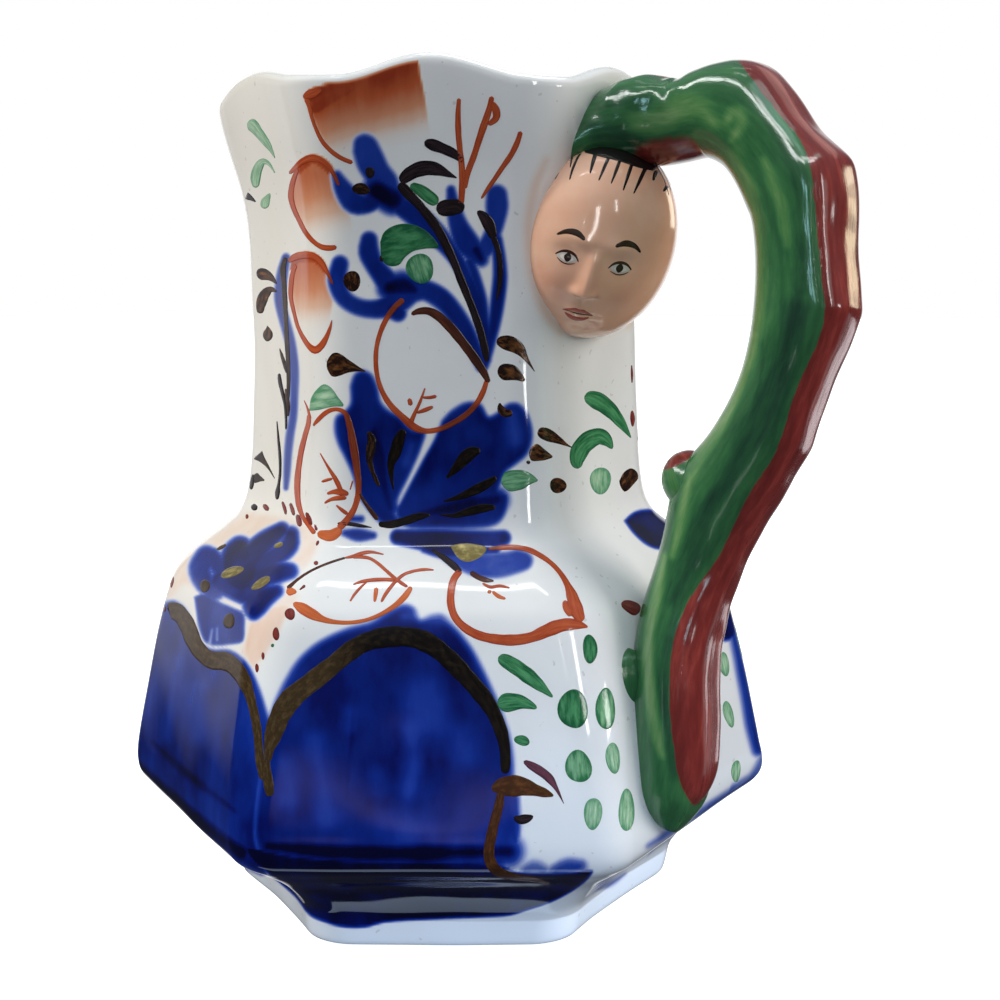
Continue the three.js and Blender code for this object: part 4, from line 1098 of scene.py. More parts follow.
# ---------------------------------------------------------------- handle
# Outlines of the handle and the line between green and maroon, laid out in the same view as the painting.
OUT_EDGE = pairs([574, 141, 578, 132, 585, 122, 595, 109, 605, 97, 613, 89, 621, 82.5, 630, 78, 641, 75.5, 652, 74.5, 662, 75.5, 672, 78, 682, 78.5, 691, 76.5, 701, 72.5,
                  713, 67.5, 725, 63, 736, 60, 746, 58.5, 756, 59, 765, 62, 773, 67.5, 781, 76.5, 789, 87.5, 797, 98.5, 806, 110.5, 816, 122, 826, 131.5, 834, 139, 841, 146.5,
                  847, 153.5, 852, 160, 854.5, 168, 855, 182, 855.5, 202, 856.5, 226, 857.5, 250, 859, 275, 860.5, 296, 861, 310, 860, 324, 856, 340, 851, 352, 845, 363, 838, 376,
                  832, 390, 827, 405, 823, 421, 819, 437, 813, 449, 806, 458, 798, 468, 789, 478.5, 780, 491, 771, 505, 765, 518, 760, 532, 754, 547, 747, 562, 740, 575, 733, 588,
                  728, 601, 724, 615, 721, 635, 719.5, 656, 719, 690, 719, 730, 719, 770])
IN_EDGE = pairs([582, 150, 592, 152, 604, 155, 618, 159, 632, 163.5, 646, 166.5, 660, 167, 674, 165, 686, 161.5, 697, 158.5, 706, 157.5, 714, 159, 721, 163, 728, 169.5, 734, 178,
                 740, 188, 745, 198.5, 749, 210, 752, 222, 754, 236, 755, 252, 755.2, 270, 754.8, 288, 754, 303, 752.5, 318, 750, 334, 746.5, 351, 742, 367, 736.5, 382, 730, 397,
                 723, 411, 715, 426, 706, 441, 697, 455, 688, 470, 680, 486, 674, 501, 669, 516, 665, 531, 661, 547, 656, 564, 651, 580, 646, 595, 641, 610, 638, 626, 636, 645])
SEAM = pairs([733, 50, 738, 60, 745, 69, 752, 78, 760, 89, 770, 102, 780, 114.5, 790, 126, 798, 136, 804, 147, 808, 156, 810.5, 165, 812.5, 180, 814.5, 200, 816.5, 220, 818.5, 240,
              820, 260, 822, 280, 824, 296, 825.5, 306, 824, 320, 820, 335, 815, 349, 808, 364, 801, 379, 795, 394, 790, 409, 786, 424, 781, 439, 776, 451.5, 770, 463, 762, 475,
              754, 487, 748, 498, 742, 509.5, 736.5, 521, 731.5, 532, 726, 544, 720, 555.5, 713, 566, 705, 577, 697, 588, 689.5, 599, 682, 616, 675, 635, 671, 656, 669.5, 680,
              669.5, 704, 671.5, 730, 674.5, 752, 677.5, 771, 683, 789, 691, 802, 702, 809, 722, 812])
# lighter and darker bands on the green: brush streaks, with painted highlight on the crests and over the top of the
# root, and painted shade in the grooves and under the root
H_LIGHT, H_SHADE = [], []


def h_light(flat, w, dens, soft=4.0):
    H_LIGHT.append(("stroke", stroke_path(pairs(flat), w, 5.0), dens, soft))


def h_shade(flat, w, dens, soft=7.0):
    H_SHADE.append(("stroke", stroke_path(pairs(flat), w, 5.0), dens, soft))


h_light([636, 126, 655, 122, 680, 108, 700, 106, 714, 122], [8, 11, 11, 9, 5], 0.75, 9)
h_light([727, 120, 735, 112, 742, 122, 732, 140], [4, 7, 6, 3], 0.8, 5)
h_light([764, 160, 772, 182, 780, 206, 785, 232, 786, 246], [3, 5, 6, 5, 2], 0.75, 5)
h_light([735, 150, 742, 168, 750, 195, 757, 225, 760, 260, 760, 300, 757, 335], [5, 6, 6, 6, 6, 7, 7], 0.45, 6)
h_light([754, 335, 748, 360, 740, 385, 730, 408, 718, 428, 706, 446, 697, 462, 690, 480], [6, 7, 6, 6, 6, 6, 5, 4], 0.75, 5)
h_light([690, 474, 686, 492, 682, 512, 677, 535, 672, 556], [3, 4, 4, 4, 3], 0.95, 4)
h_light([664, 556, 660, 578, 656, 600, 651, 622, 648, 650, 650, 690, 656, 730, 662, 756], [3, 4, 5, 5, 5, 6, 6, 3], 0.95, 4)
h_shade([600, 138, 622, 140, 650, 148, 690, 148, 712, 152], [9, 11, 7, 6, 4], 0.6, 8)
h_shade([756, 84, 766, 110, 778, 134, 790, 156, 796, 190, 800, 240, 802, 290], [3, 4, 5, 6, 5, 5, 7], 0.45, 6)
h_shade([795, 312, 786, 350, 772, 392, 756, 430, 742, 458, 724, 484, 708, 510, 696, 540, 686, 572, 674, 600], [14, 15, 15, 14, 11, 10, 9, 8, 8, 5], 0.85, 10)
h_shade([668, 640, 664, 690, 668, 740, 674, 776], [5, 5, 5, 5], 0.5, 6)


def handle_curve():
    c = catmull(HANDLE, 40)
    return resample(c, 0.5, 3)


def crossing(line, cen, nd, sign, reach):
    """Distance from each station to an outline along its own normal."""
    fine = resample(catmull(line, 8), 0.8)
    out = np.full(len(cen), np.nan)
    for i in range(len(cen)):
        rel = fine - cen[i]
        al = sign * (rel @ nd[i])
        ac = np.abs(rel[:, 0] * nd[i, 1] - rel[:, 1] * nd[i, 0])
        ok = (ac < 1.6) & (al > 2) & (al < reach)
        if ok.any():
            k = np.where(ok)[0]
            out[i] = al[k[np.argmin(ac[k] + 0.02 * al[k])]]
    return out


def smooth(a, sig):
    k = np.exp(-0.5 * (np.arange(-12, 13) / sig) ** 2)
    return np.convolve(np.pad(a, 12, mode="edge"), k / k.sum(), mode="valid")


def handle_piece():
    c = handle_curve()
    n = len(c)
    pos = c[:, :3].copy()
    T = np.gradient(pos, axis=0)
    T /= np.linalg.norm(T, axis=1, keepdims=True)
    N = np.stack([-T[:, 2], np.zeros(n), T[:, 0]], -1)
    N /= np.linalg.norm(N, axis=1, keepdims=True)
    B = np.cross(T, N)
    s = np.concatenate([[0], np.cumsum(np.linalg.norm(np.diff(pos, axis=0), axis=1))])
    M = 144
    ph = np.linspace(-math.pi, math.pi, M, endpoint=False)
    cp, sp = np.cos(ph), np.sin(ph)
    ex = np.where(cp > 0, 2.9, 2.15)        # planed back, rounder belly
    q = (np.abs(cp) ** ex + np.abs(sp) ** ex) ** (-1 / ex)
    off = np.array([AXIS_X, 0, 0])

    def build(ro, ri):
        rr = np.where(cp[None, :] > 0, ro[:, None], ri[:, None]) * (q * cp)[None, :]
        ww = c[:, 4][:, None] * (q * sp)[None, :]
        return rr, ww, off + pos[:, None, :] + N[:, None, :] * rr[..., None] + B[:, None, :] * ww[..., None]

    ro, ri = c[:, 3].copy(), c[:, 3].copy()
    cen = project(pos + off)
    nd = project(pos + N + off) - cen
    nd /= np.linalg.norm(nd, axis=1, keepdims=True)
    t_out, t_in = crossing(OUT_EDGE, cen, nd, 1, 80), crossing(IN_EDGE, cen, nd, -1, 80)
    free = smoothstep((s - 7.0) / 4.0) * (1 - smoothstep((s - 104.0) / 10.0))
    for _ in range(8):
        _, _, pts = build(ro, ri)
        ext = ((project(pts) - cen[:, None]) * nd[:, None]).sum(-1)
        for t, e, arr in ((t_out, ext.max(1), ro), (t_in, -ext.min(1), ri)):
            f = np.where(np.isfinite(t), np.clip(t / np.maximum(e, 4), 0.7, 1.4), 1.0)
            arr *= 1 + (f - 1) * free
    # straight-cut planks along the back, meeting at blunt corners
    corner = [int(np.nanargmin(np.hypot(*((cen + nd * t_out[:, None]) - np.array(k)).T))) for k in ((773, 67.5), (847, 153.5), (861, 310), (813, 449), (728, 601))]
    drawn = ro.copy()
    ro, ri = smooth(ro, 3.0), smooth(ri, 3.0)
    planks = []
    for a, b in zip(corner[:-1], corner[1:]):
        t = np.linspace(0, 1, b - a + 1)
        planks.append(np.polyval(np.polyfit(t, drawn[a:b + 1], 2), t))
    meet = [ro[corner[0]]] + [(p[-1] + q2[0]) / 2 for p, q2 in zip(planks[:-1], planks[1:])] + [ro[corner[-1]]]
    for k, (a, b) in enumerate(zip(corner[:-1], corner[1:])):
        t = np.linspace(0, 1, b - a + 1)
        ro[a:b + 1] = planks[k] + (meet[k] - planks[k][0]) * (1 - t) + (meet[k + 1] - planks[k][-1]) * t
    ro = smooth(ro, 1.1)
    rr, ww, pts = build(ro, ri)
    # close-set twig ridges over the root, slight unevenness elsewhere
    S_, PH = s[:, None], ph[None, :]
    near_root = np.exp(-((S_ - 16) / 9.0) ** 4) * np.clip(np.cos(PH - 0.75), 0, 1) ** 1.5
    lump = 0.085 * near_root * (np.sin(1.65 * S_ + 0.7 * np.sin(2 * PH)) + 0.4 * np.sin(2.9 * S_ + PH + 1)) \
        + 0.10 * near_root * (np.sin(1.5 * S_) * np.cos(7.8 * PH) + np.cos(1.1 * S_) * np.sin(7.8 * PH)) \
        + 0.07 * np.sin(0.30 * S_ + 1.5 * np.sin(PH)) * np.cos(2 * PH + 0.4) + 0.04 * np.sin(0.8 * S_ + 3 * PH) * np.clip(0.4 + np.cos(PH), 0, 1)
    nrm2 = np.hypot(rr, ww)
    rr, ww = rr * (1 + lump / nrm2), ww * (1 + lump / nrm2)
    pts = off + pos[:, None, :] + N[:, None, :] * rr[..., None] + B[:, None, :] * ww[..., None]
    # swelling where the bud sits
    d = pts - BUD_C
    dist = np.linalg.norm(d, axis=-1)
    pts = pts + (-N[:, None, :] * 0.8 + np.array([0, -0.25, 0])) * (1.5 * np.exp(-(dist / 6.0) ** 2))[..., None]

    # the root is pressed on aslant, lower on the near side
    pts = pts - B[:, None, :] * (0.75 * rr * (1 - smoothstep((S_ - 3.0) / 12.0)))[..., None]

    # the ends stop inside the wall
    def wall(z):
        return np.interp(z, prof_out[:, 0], prof_out[:, 1])
    lim = AXIS_X + wall(pts[..., 2]) - 1.1
    pts[..., 0] = np.maximum(pts[..., 0], lim)
    px = project(pts)
    # maroon to the outside of the seam; the far side follows the near side
    seam = resample(catmull(SEAM, 8), 1.5)
    tang = np.gradient(seam, axis=0)
    tang /= np.linalg.norm(tang, axis=1, keepdims=True)
    flat = px.reshape(-1, 2)
    dd = np.full(len(flat), 1e9)
    sd = np.zeros(len(flat))
    for p0, t0 in zip(seam, tang):
        rel = flat - p0
        r2 = np.hypot(rel[:, 0], rel[:, 1])
        side = rel[:, 1] * t0[0] - rel[:, 0] * t0[1]      # negative on the outer side
        m = r2 < dd
        dd[m], sd[m] = r2[m], -np.sign(side[m]) * r2[m]
    sd = sd.reshape(n, M)
    deg = np.degrees(ph)
    mirror = (M - np.arange(M)) % M                      # column of -phi
    use = np.where(deg >= 8, np.arange(M), mirror)
    use = np.where(np.abs(deg) < 8, np.argmin(np.abs(deg - 8)), use)
    maroon = 0.5 + sd[:, use] / 3.2
    maroon[:, np.abs(deg) > 140] = 0
    maroon[s < 24] = 0
    top_patch = 1 - np.hypot((S_ - 15.2) / 3.4, (np.abs(PH) - 0.12) / 0.30)
    under = 1 - np.hypot((S_ - 20.0) / 7.0, (math.pi - np.abs(PH)) / 1.05)
    maroon = np.maximum(maroon, np.maximum(0.5 + 2.5 * top_patch, 0.5 + 2.5 * under))
    # the maroon back stands up from the green as a rounded bead, most at the lower end
    side_d = sd[:, use]
    upper, tail = smoothstep((S_ - 27.0) / 5.0), smoothstep((S_ - 84.0) / 9.0)
    bead = (0.10 * upper + 0.50 * tail) * np.clip(1 - ((side_d - 21) / 21) ** 2, 0, 1) - (0.13 * upper + 0.16 * tail) * np.exp(-(side_d / 5.5) ** 2)
    bead = np.where(np.abs(deg)[None, :] > 140, 0.0, bead)
    out_dir = N[:, None, :] * rr[..., None] + B[:, None, :] * ww[..., None]
    out_dir /= np.linalg.norm(out_dir, axis=-1, keepdims=True)
    pts = pts + out_dir * bead[..., None]
    light = soft_layer(H_LIGHT, px[..., 0].ravel(), px[..., 1].ravel()).reshape(n, M)
    deep = soft_layer(H_SHADE, px[..., 0].ravel(), px[..., 1].ravel()).reshape(n, M)
    light, deep = light[:, use], deep[:, use]
    v = pts.reshape(-1, 3)
    f = grid_faces(n, M)[:, ::-1]
    c0, c1 = len(v), len(v) + 1
    v = np.vstack([v, pts[0].mean(0), pts[-1].mean(0)])
    ends = lambda a, e0=0.0, e1=0.0: np.concatenate([np.asarray(a, float).reshape(-1), [e0, e1]])
    at = {"maroon": np.clip(ends(maroon), 0, 1), "light": ends(light), "deep": ends(deep),
          "along": ends(np.repeat(s, M), s[0], s[-1]), "pc": ends(np.tile(cp, n)), "ps": ends(np.tile(sp, n))}
    caps = [[c0, i, (i + 1) % M] for i in range(M)] + [[c1, (n - 1) * M + (i + 1) % M, (n - 1) * M + i] for i in range(M)]
    tri = np.vstack([f[:, [0, 1, 2]], f[:, [0, 2, 3]], np.array(caps)])
    return v, tri, at


def on_plane_y(px, py, y):
    d = ray_dir(px, py)
    return EYE + d * ((y - EYE[1]) / d[1])


BUD_C = on_plane_y(690, 481, -7.2)
hv, hf, hat = handle_piece()


def handle_material(name):
    m, nt, b = nodes_of(name)
    mar = attr(nt, "maroon")
    comb = nt.nodes.new("ShaderNodeCombineXYZ")
    nt.links.new(attr(nt, "pc"), comb.inputs[0])
    nt.links.new(attr(nt, "ps"), comb.inputs[1])
    nt.links.new(math_node(nt, "MULTIPLY", attr(nt, "along"), 0.028), comb.inputs[2])
    st = noise(nt, 3.2, 4, 0.6, vec=comb.outputs[0])
    st2 = noise(nt, 9.0, 3, 0.6, vec=comb.outputs[0])
    mix = math_node(nt, "MULTIPLY_ADD", st2, 0.35, math_node(nt, "MULTIPLY", st, 0.65))
    lev = math_node(nt, "MULTIPLY_ADD", math_node(nt, "SUBTRACT", mix, 0.5), 0.85, 0.40)
    # painted highlight on the crests and painted shade in the grooves of the green, over its streaks
    lev = math_node(nt, "MULTIPLY_ADD", attr(nt, "light"), 0.40, lev)
    lev = math_node(nt, "MULTIPLY_ADD", attr(nt, "deep"), -0.30, lev, clamp=True)
    green = ramp(nt, lev, [(0.05, (0.012, 0.044, 0.026)), (0.25, (0.021, 0.086, 0.038)), (0.45, (0.038, 0.152, 0.054)), (0.65, (0.082, 0.225, 0.074)), (0.9, (0.21, 0.345, 0.15))])
    red = ramp(nt, mix, [(0.28, (0.112, 0.015, 0.014)), (0.5, (0.198, 0.027, 0.023)), (0.72, (0.35, 0.060, 0.046))])
    fac = math_node(nt, "MULTIPLY_ADD", math_node(nt, "MULTIPLY_ADD", noise(nt, 420, 2, 0.5), 0.5, -0.25), 1.0, mar, clamp=True)
    fac = math_node(nt, "MULTIPLY_ADD", fac, 2.2, -0.6, clamp=True)
    col = mixrgb(nt, fac, green, red)
    nt.links.new(col, b.inputs["Base Color"])
    b.inputs["Roughness"].default_value = 0.15
    b.inputs["IOR"].default_value = 1.52
    b.inputs["Coat Weight"].default_value = 0.35
    b.inputs["Coat Roughness"].default_value = 0.05
    h = math_node(nt, "ADD", math_node(nt, "MULTIPLY", noise(nt, 90, 2, 0.5), 1.0), math_node(nt, "MULTIPLY", st2, 0.25))
    nt.links.new(bump(nt, h, 0.28, 0.0007), b.inputs["Normal"])
    return m


m_handle = handle_material("enamel_handle")
handle = make_mesh("handle_loop_enamelled", hv, hf, None, hat)
handle.data.materials.append(m_handle)


def lump_piece(name, centre, half, rot=None, n=64, m=44, maroon=None, light=0.0, deep=0.0):
    """A thumbed pad of clay: a rounded pebble with slight dents."""
    th = np.linspace(0, 2 * math.pi, n, endpoint=False)
    la = np.linspace(-math.pi / 2, math.pi / 2, m)
    L, TH = np.meshgrid(la, th, indexing="ij")
    d = np.stack([np.cos(L) * np.cos(TH), np.cos(L) * np.sin(TH), np.sin(L)], -1)
    k = 1 + 0.04 * np.sin(3 * TH + 1) * np.cos(L) + 0.03 * np.sin(2 * L + 2 * TH) * np.cos(L)
    v = d * np.array(half) * k[..., None]
    if rot is not None:
        v = v @ np.asarray(Matrix.Rotation(math.radians(rot), 3, "Y")).T
    v = (v + np.array(centre)).reshape(-1, 3)
    z = np.zeros(len(v))
    at = {"maroon": z if maroon is None else maroon(v), "light": z + light, "deep": z + deep, "along": v[:, 2] * 0.6,
          "pc": np.cos(TH).ravel(), "ps": np.sin(TH).ravel()}
    ob = make_mesh(name, v, grid_faces(m, n), None, at)
    ob.data.materials.append(m_handle)
    return ob


def bud_maroon(v):
    p = project(v)
    x = p[:, 0] - 671
    return np.clip(0.5 + (468.5 - 0.35 * x - 0.011 * x * x - p[:, 1]) / 5.0, 0, 1)


# the bud's green is lifted all over: painted highlight
bud = lump_piece("handle_bud_enamelled", BUD_C, (4.2, 4.5, 4.8), rot=-25, maroon=bud_maroon, light=0.35)
pad = lump_piece("handle_tail_pad_enamelled", (AXIS_X + 43.6, -16.7, 44.2), (2.8, 4.3, 5.2), deep=0.15)
for ob, node in ((handle, "handle_loop"), (bud, "handle_bud"), (pad, "handle_tail_pad")):
    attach(ob, "root")
    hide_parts(node)

# ---------------------------------------------------------------- head mask
MASK_C = np.array([AXIS_X + 32.2, -3.0, 111.3])
MASK_H = np.array([10.6, 15.9, 15.6])
MASK_LEAN = math.radians(15)
FACE_F = np.array([math.cos(math.radians(-62)) * math.cos(math.radians(-14)), math.sin(math.radians(-62)) * math.cos(math.radians(-14)), math.sin(math.radians(-14))])
_fr = np.cross([0, 0, 1.0], FACE_F)
_fr /= np.linalg.norm(_fr)
_fu = np.cross(FACE_F, _fr)
_ro = math.radians(17)
FACE_U = _fu * math.cos(_ro) + _fr * math.sin(_ro)
FACE_R = _fr * math.cos(_ro) - _fu * math.sin(_ro)
FACE_C = MASK_C + FACE_R * (-1.0) + FACE_U * (-0.8)
FACE_W, FACE_T = 12.2, 16.0        # half width and half height of the face in mm


def bell(x, y, cx, cy, sx, sy):
    return np.exp(-((x - cx) / sx) ** 2 - ((y - cy) / sy) ** 2)


def face_relief(x, y):
    """Height of a plain, even face in mm over the egg-shaped head; x across, y up, both in half sizes."""
    ax = np.abs(x)
    h = 0.45 * bell(ax, y, 0.26, 0.20, 0.22, 0.07) + 0.25 * bell(x, y, 0, 0.24, 0.30, 0.10)          # brows
    h -= 0.85 * bell(ax, y, 0.34, 0.03, 0.17, 0.10)                                                     # sockets
    h += 0.55 * bell(ax, y, 0.35, 0.00, 0.115, 0.062)                                                   # eyeballs
    t = np.clip((0.12 - y) / 0.40, 0, 1)
    ridge = np.where((y < 0.16) & (y > -0.45), 1.0, 0.0) * smoothstep((0.20 - y) / 0.16) * smoothstep((y + 0.345) / 0.055)
    h += ridge * (0.75 + 1.45 * t ** 1.4) * np.exp(-(x / (0.075 + 0.055 * t)) ** 2)                     # nose
    h += 0.60 * bell(ax, y, 0.125, -0.275, 0.055, 0.05)                                                 # wings of the nose
    h -= 0.22 * bell(x, y, 0, -0.40, 0.035, 0.05)                                                       # groove under it
    h += 0.50 * bell(ax, y, 0.055, -0.475, 0.10, 0.035) + 0.62 * bell(x, y, 0, -0.575, 0.135, 0.042)    # lips
    h -= 0.38 * bell(x, y, 0, -0.522, 0.19, 0.016)
    h -= 0.30 * bell(x, y, 0, -0.665, 0.18, 0.045)
    h += 0.95 * bell(x, y, 0, -0.80, 0.20, 0.12)                                                        # chin
    h += 0.40 * bell(ax, y, 0.47, -0.26, 0.20, 0.19)                                                    # cheeks
    return h


def head_piece():
    n, m = 300, 220
    th = np.linspace(0, 2 * math.pi, n, endpoint=False)
    la = np.linspace(-math.pi / 2, math.pi / 2, m)
    L, TH = np.meshgrid(la, th, indexing="ij")
    d = np.stack([np.cos(L) * np.cos(TH), np.cos(L) * np.sin(TH), np.sin(L)], -1)
    ca, sa = math.cos(MASK_LEAN), math.sin(MASK_LEAN)
    turn = lambda a: np.stack([a[..., 0] * ca + a[..., 2] * sa, a[..., 1], -a[..., 0] * sa + a[..., 2] * ca], -1)
    v = turn(d * MASK_H) + MASK_C
    nn = turn(d / MASK_H)
    nn /= np.linalg.norm(nn, axis=-1, keepdims=True)
    front = smoothstep(((nn @ FACE_F) - 0.05) / 0.35)
    x, y = (v - FACE_C) @ FACE_R / FACE_W, (v - FACE_C) @ FACE_U / FACE_T
    v = v + FACE_F * (front * face_relief(x, y))[..., None]
    blush = front * (bell(np.abs(x), y, 0.46, -0.27, 0.24, 0.17) + 0.5 * bell(x, y, 0, -0.25, 0.10, 0.08))
    return v.reshape(-1, 3), grid_faces(m, n), blush.ravel()


def flesh_material(name):
    m, nt, b = nodes_of(name)
    st = noise(nt, 120, 3, 0.55)
    col = ramp(nt, st, [(0.3, (0.94, 0.48, 0.30)), (0.7, (1.0, 0.62, 0.44))])
    brush = noise(nt, 45, 3, 0.55, (1, 1, 2.5))
    col = mixrgb(nt, math_node(nt, "MULTIPLY_ADD", brush, 1.6, -0.62, clamp=True), col, (0.72, 0.38, 0.235))
    col = mixrgb(nt, math_node(nt, "MULTIPLY", attr(nt, "blush"), 0.45), col, (0.72, 0.27, 0.17))
    nt.links.new(col, b.inputs["Base Color"])
    b.inputs["Roughness"].default_value = 0.13
    b.inputs["IOR"].default_value = 1.52
    b.inputs["Coat Weight"].default_value = 0.35
    b.inputs["Coat Roughness"].default_value = 0.05
    nt.links.new(bump(nt, noise(nt, 110, 2, 0.5), 0.16, 0.0006), b.inputs["Normal"])
    return m


mv, mf, mblush = head_piece()
m_flesh = flesh_material("enamel_flesh")
head = make_mesh("head_mask_enamelled", mv, mf, None, {"blush": mblush})
head.data.materials.append(m_flesh)
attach(head, "root")
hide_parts("head_mask")

# painted features and hair, laid on the head like the body strokes
HEAD_TREE = BVHTree.FromPolygons(mv.tolist(), mf.tolist())


def head_hit(origin, direction):
    loc, nor, idx, dist = HEAD_TREE.ray_cast(Vector(origin), Vector(direction))
    return None if loc is None else (np.array(loc), np.array(nor))


def on_face(x, y):
    return head_hit(FACE_C + FACE_R * x * FACE_W + FACE_U * y * FACE_T + FACE_F * 40, -FACE_F)


def on_head(px, py):
    return head_hit(EYE, ray_dir(px, py))


def on_round(a, e):
    a, e = math.radians(a), math.radians(e)
    d = np.array([math.cos(a) * math.cos(e), math.sin(a) * math.cos(e), math.sin(e)])
    return head_hit(MASK_C + d * 60, -d)


TINT.update({"hair": (0.010, 0.008, 0.008), "lip": (0.36, 0.075, 0.055), "eyewhite": (0.62, 0.56, 0.50), "iris": (0.030, 0.016, 0.010), "lid": (0.05, 0.02, 0.014)})
head_ink = []
for sg in (-1, 1):
    head_ink += [("iris", on_face, 0.02, [sg * 0.55, 0.185, sg * 0.44, 0.245, sg * 0.31, 0.262, sg * 0.19, 0.225], [.010, .024, .030, .016]),
                 ("lid", on_face, 0.02, [sg * 0.50, 0.005, sg * 0.42, 0.052, sg * 0.34, 0.066, sg * 0.25, 0.048, sg * 0.185, -0.005], [.008, .014, .016, .014, .006]),
                 ("lid", on_face, 0.02, [sg * 0.47, -0.012, sg * 0.40, -0.040, sg * 0.32, -0.047, sg * 0.22, -0.022], [.003, .006, .006, .003])]
head_ink += [("lip", on_face, 0.02, [-0.20, -0.520, -0.11, -0.492, -0.045, -0.478, 0, -0.488, 0.045, -0.478, 0.11, -0.492, 0.20, -0.520], [.005, .018, .024, .022, .024, .018, .005]),
             ("lip", on_face, 0.02, [-0.165, -0.545, -0.08, -0.572, 0, -0.582, 0.08, -0.572, 0.165, -0.545], [.006, .024, .030, .024, .006]),
             ("lid", on_face, 0.02, [-0.205, -0.520, -0.10, -0.520, 0, -0.526, 0.10, -0.520, 0.205, -0.520], [.004, .006, .007, .006, .004])]
head_blobs = []
for sg in (-1, 1):
    head_blobs += [("eyewhite", sg * 0.345, 0.008, 0.135, 0.045), ("iris", sg * 0.335, 0.014, 0.048, 0.042)]
for flat, w in (([574, 149, 572, 157, 570, 168], [1.2, 1.3, .5]), ([596, 152, 593, 162, 590, 174], [2.2, 2, .8]), ([609, 157, 604, 168, 598.5, 181], [1.8, 1.7, .7]),
                ([620, 160, 616, 171, 611, 184], [1.8, 1.7, .7]), ([632, 164, 628, 176, 623, 191], [1.9, 1.8, .7]), ([646, 167, 640, 180, 633.5, 194], [2.2, 1.9, .7]),
                ([657, 170, 655, 175, 653, 181], [2.2, 2.2, 1.2]), ([672, 178, 668, 185, 663, 192], [2.4, 2.3, 1.0]), ([562, 158, 562, 166], [.7, 2.0]),
                ([582, 150.4, 590, 150.6, 600, 151.4, 622, 155.5, 642, 161.5, 657, 168], [1.8, 3.6, 5.6, 7.0, 7.5, 4.0])):
    head_ink.append(("hair", on_head, 1.6, flat, w))
for k, a in enumerate((14, 26, 40, 52, 66, 79, 93, -86, -100)):     # the fringe goes on round the sides
    e1 = 32 + 5 * ((k * 7) % 3) / 2
    head_ink.append(("hair", on_round, 1.2, [a, 60, a + 1.5, (60 + e1) / 2, a + 2.5, e1], [1.8, 1.5, 0.6]))
head_ink.append(("hair", on_round, 1.6, [-2, 54, 20, 57, 45, 58, 70, 58, 98, 56], [4, 4.5, 4, 4, 3]))

hl = Layer()


def head_mark(col, pts, nor, edge, quads, across, along, thick, seed):
    n = len(pts)
    nor = nor / np.linalg.norm(nor, axis=1, keepdims=True)
    top = pts + nor * np.where(edge, -0.012, thick)[:, None]
    inner = np.where(~edge)[0]
    low_ = pts[inner] - nor[inner] * 0.06
    remap = np.arange(n)
    remap[inner] = n + np.arange(len(inner))
    quads = np.asarray(quads)
    quads = np.where((edge[quads[:, 0]] & edge[quads[:, 2]])[:, None], np.roll(quads, -1, axis=1), quads)     # corners split towards the middle
    tri = np.vstack([quads[:, [0, 1, 2]], quads[:, [0, 2, 3]]])
    tri = tri[(tri[:, 0] != tri[:, 1]) & (tri[:, 1] != tri[:, 2]) & (tri[:, 0] != tri[:, 2])]
    fn = np.cross(pts[tri[:, 1]] - pts[tri[:, 0]], pts[tri[:, 2]] - pts[tri[:, 0]])
    if (fn * nor[tri[:, 0]]).sum() < 0:
        tri = tri[:, ::-1]
    under = remap[tri][:, ::-1]
    same = (under == tri[:, ::-1]).all(1)
    tint = np.broadcast_to(np.array(TINT[col]), (n + len(inner), 3))
    rim = np.concatenate([np.abs(across), np.abs(across[inner])])
    hl.add(top, low_, np.vstack([tri, under[~same]]), tint, tint * 1.5, np.concatenate([across, across[inner]]), np.concatenate([along, along[inner]]), rim, seed)


for k, (col, cx, cy, rx, ry) in enumerate(head_blobs):
    t = np.linspace(0, 2 * math.pi, 26, endpoint=False)
    out = np.stack([cx + rx * np.cos(t), cy + ry * np.sin(t) * (1 - 0.25 * np.cos(t) ** 2)], -1)
    rs = np.sin(np.linspace(0, 1, 6)[1:] * math.pi / 2)
    g = np.concatenate([[np.array([cx, cy]) + (out - [cx, cy]) * 0.03], np.array([cx, cy]) + (out - [cx, cy])[None] * rs[:, None, None]], 0)
    hits = [on_face(*p) for p in g.reshape(-1, 2)]
    if any(h is None for h in hits):
        continue
    pts, nor = np.array([h[0] for h in hits]), np.array([h[1] for h in hits])
    R_, C_ = g.shape[:2]
    quads = np.vstack([grid_faces(R_, C_), [[len(pts), (i + 1) % C_, i, i] for i in range(C_)]])
    pts, nor = np.vstack([pts, pts[:C_].mean(0)]), np.vstack([nor, nor[:C_].mean(0)])
    edge = np.zeros(len(pts), bool)
    edge[(R_ - 1) * C_:R_ * C_] = True
    across = np.concatenate([np.repeat(np.concatenate([[0.03], rs]), C_), [0]])
    head_mark(col, pts, nor, edge, quads, across, np.concatenate([g.reshape(-1, 2)[:, 1] * 30, [0]]), 0.03 if col == "eyewhite" else 0.05, (k * 0.37) % 1)
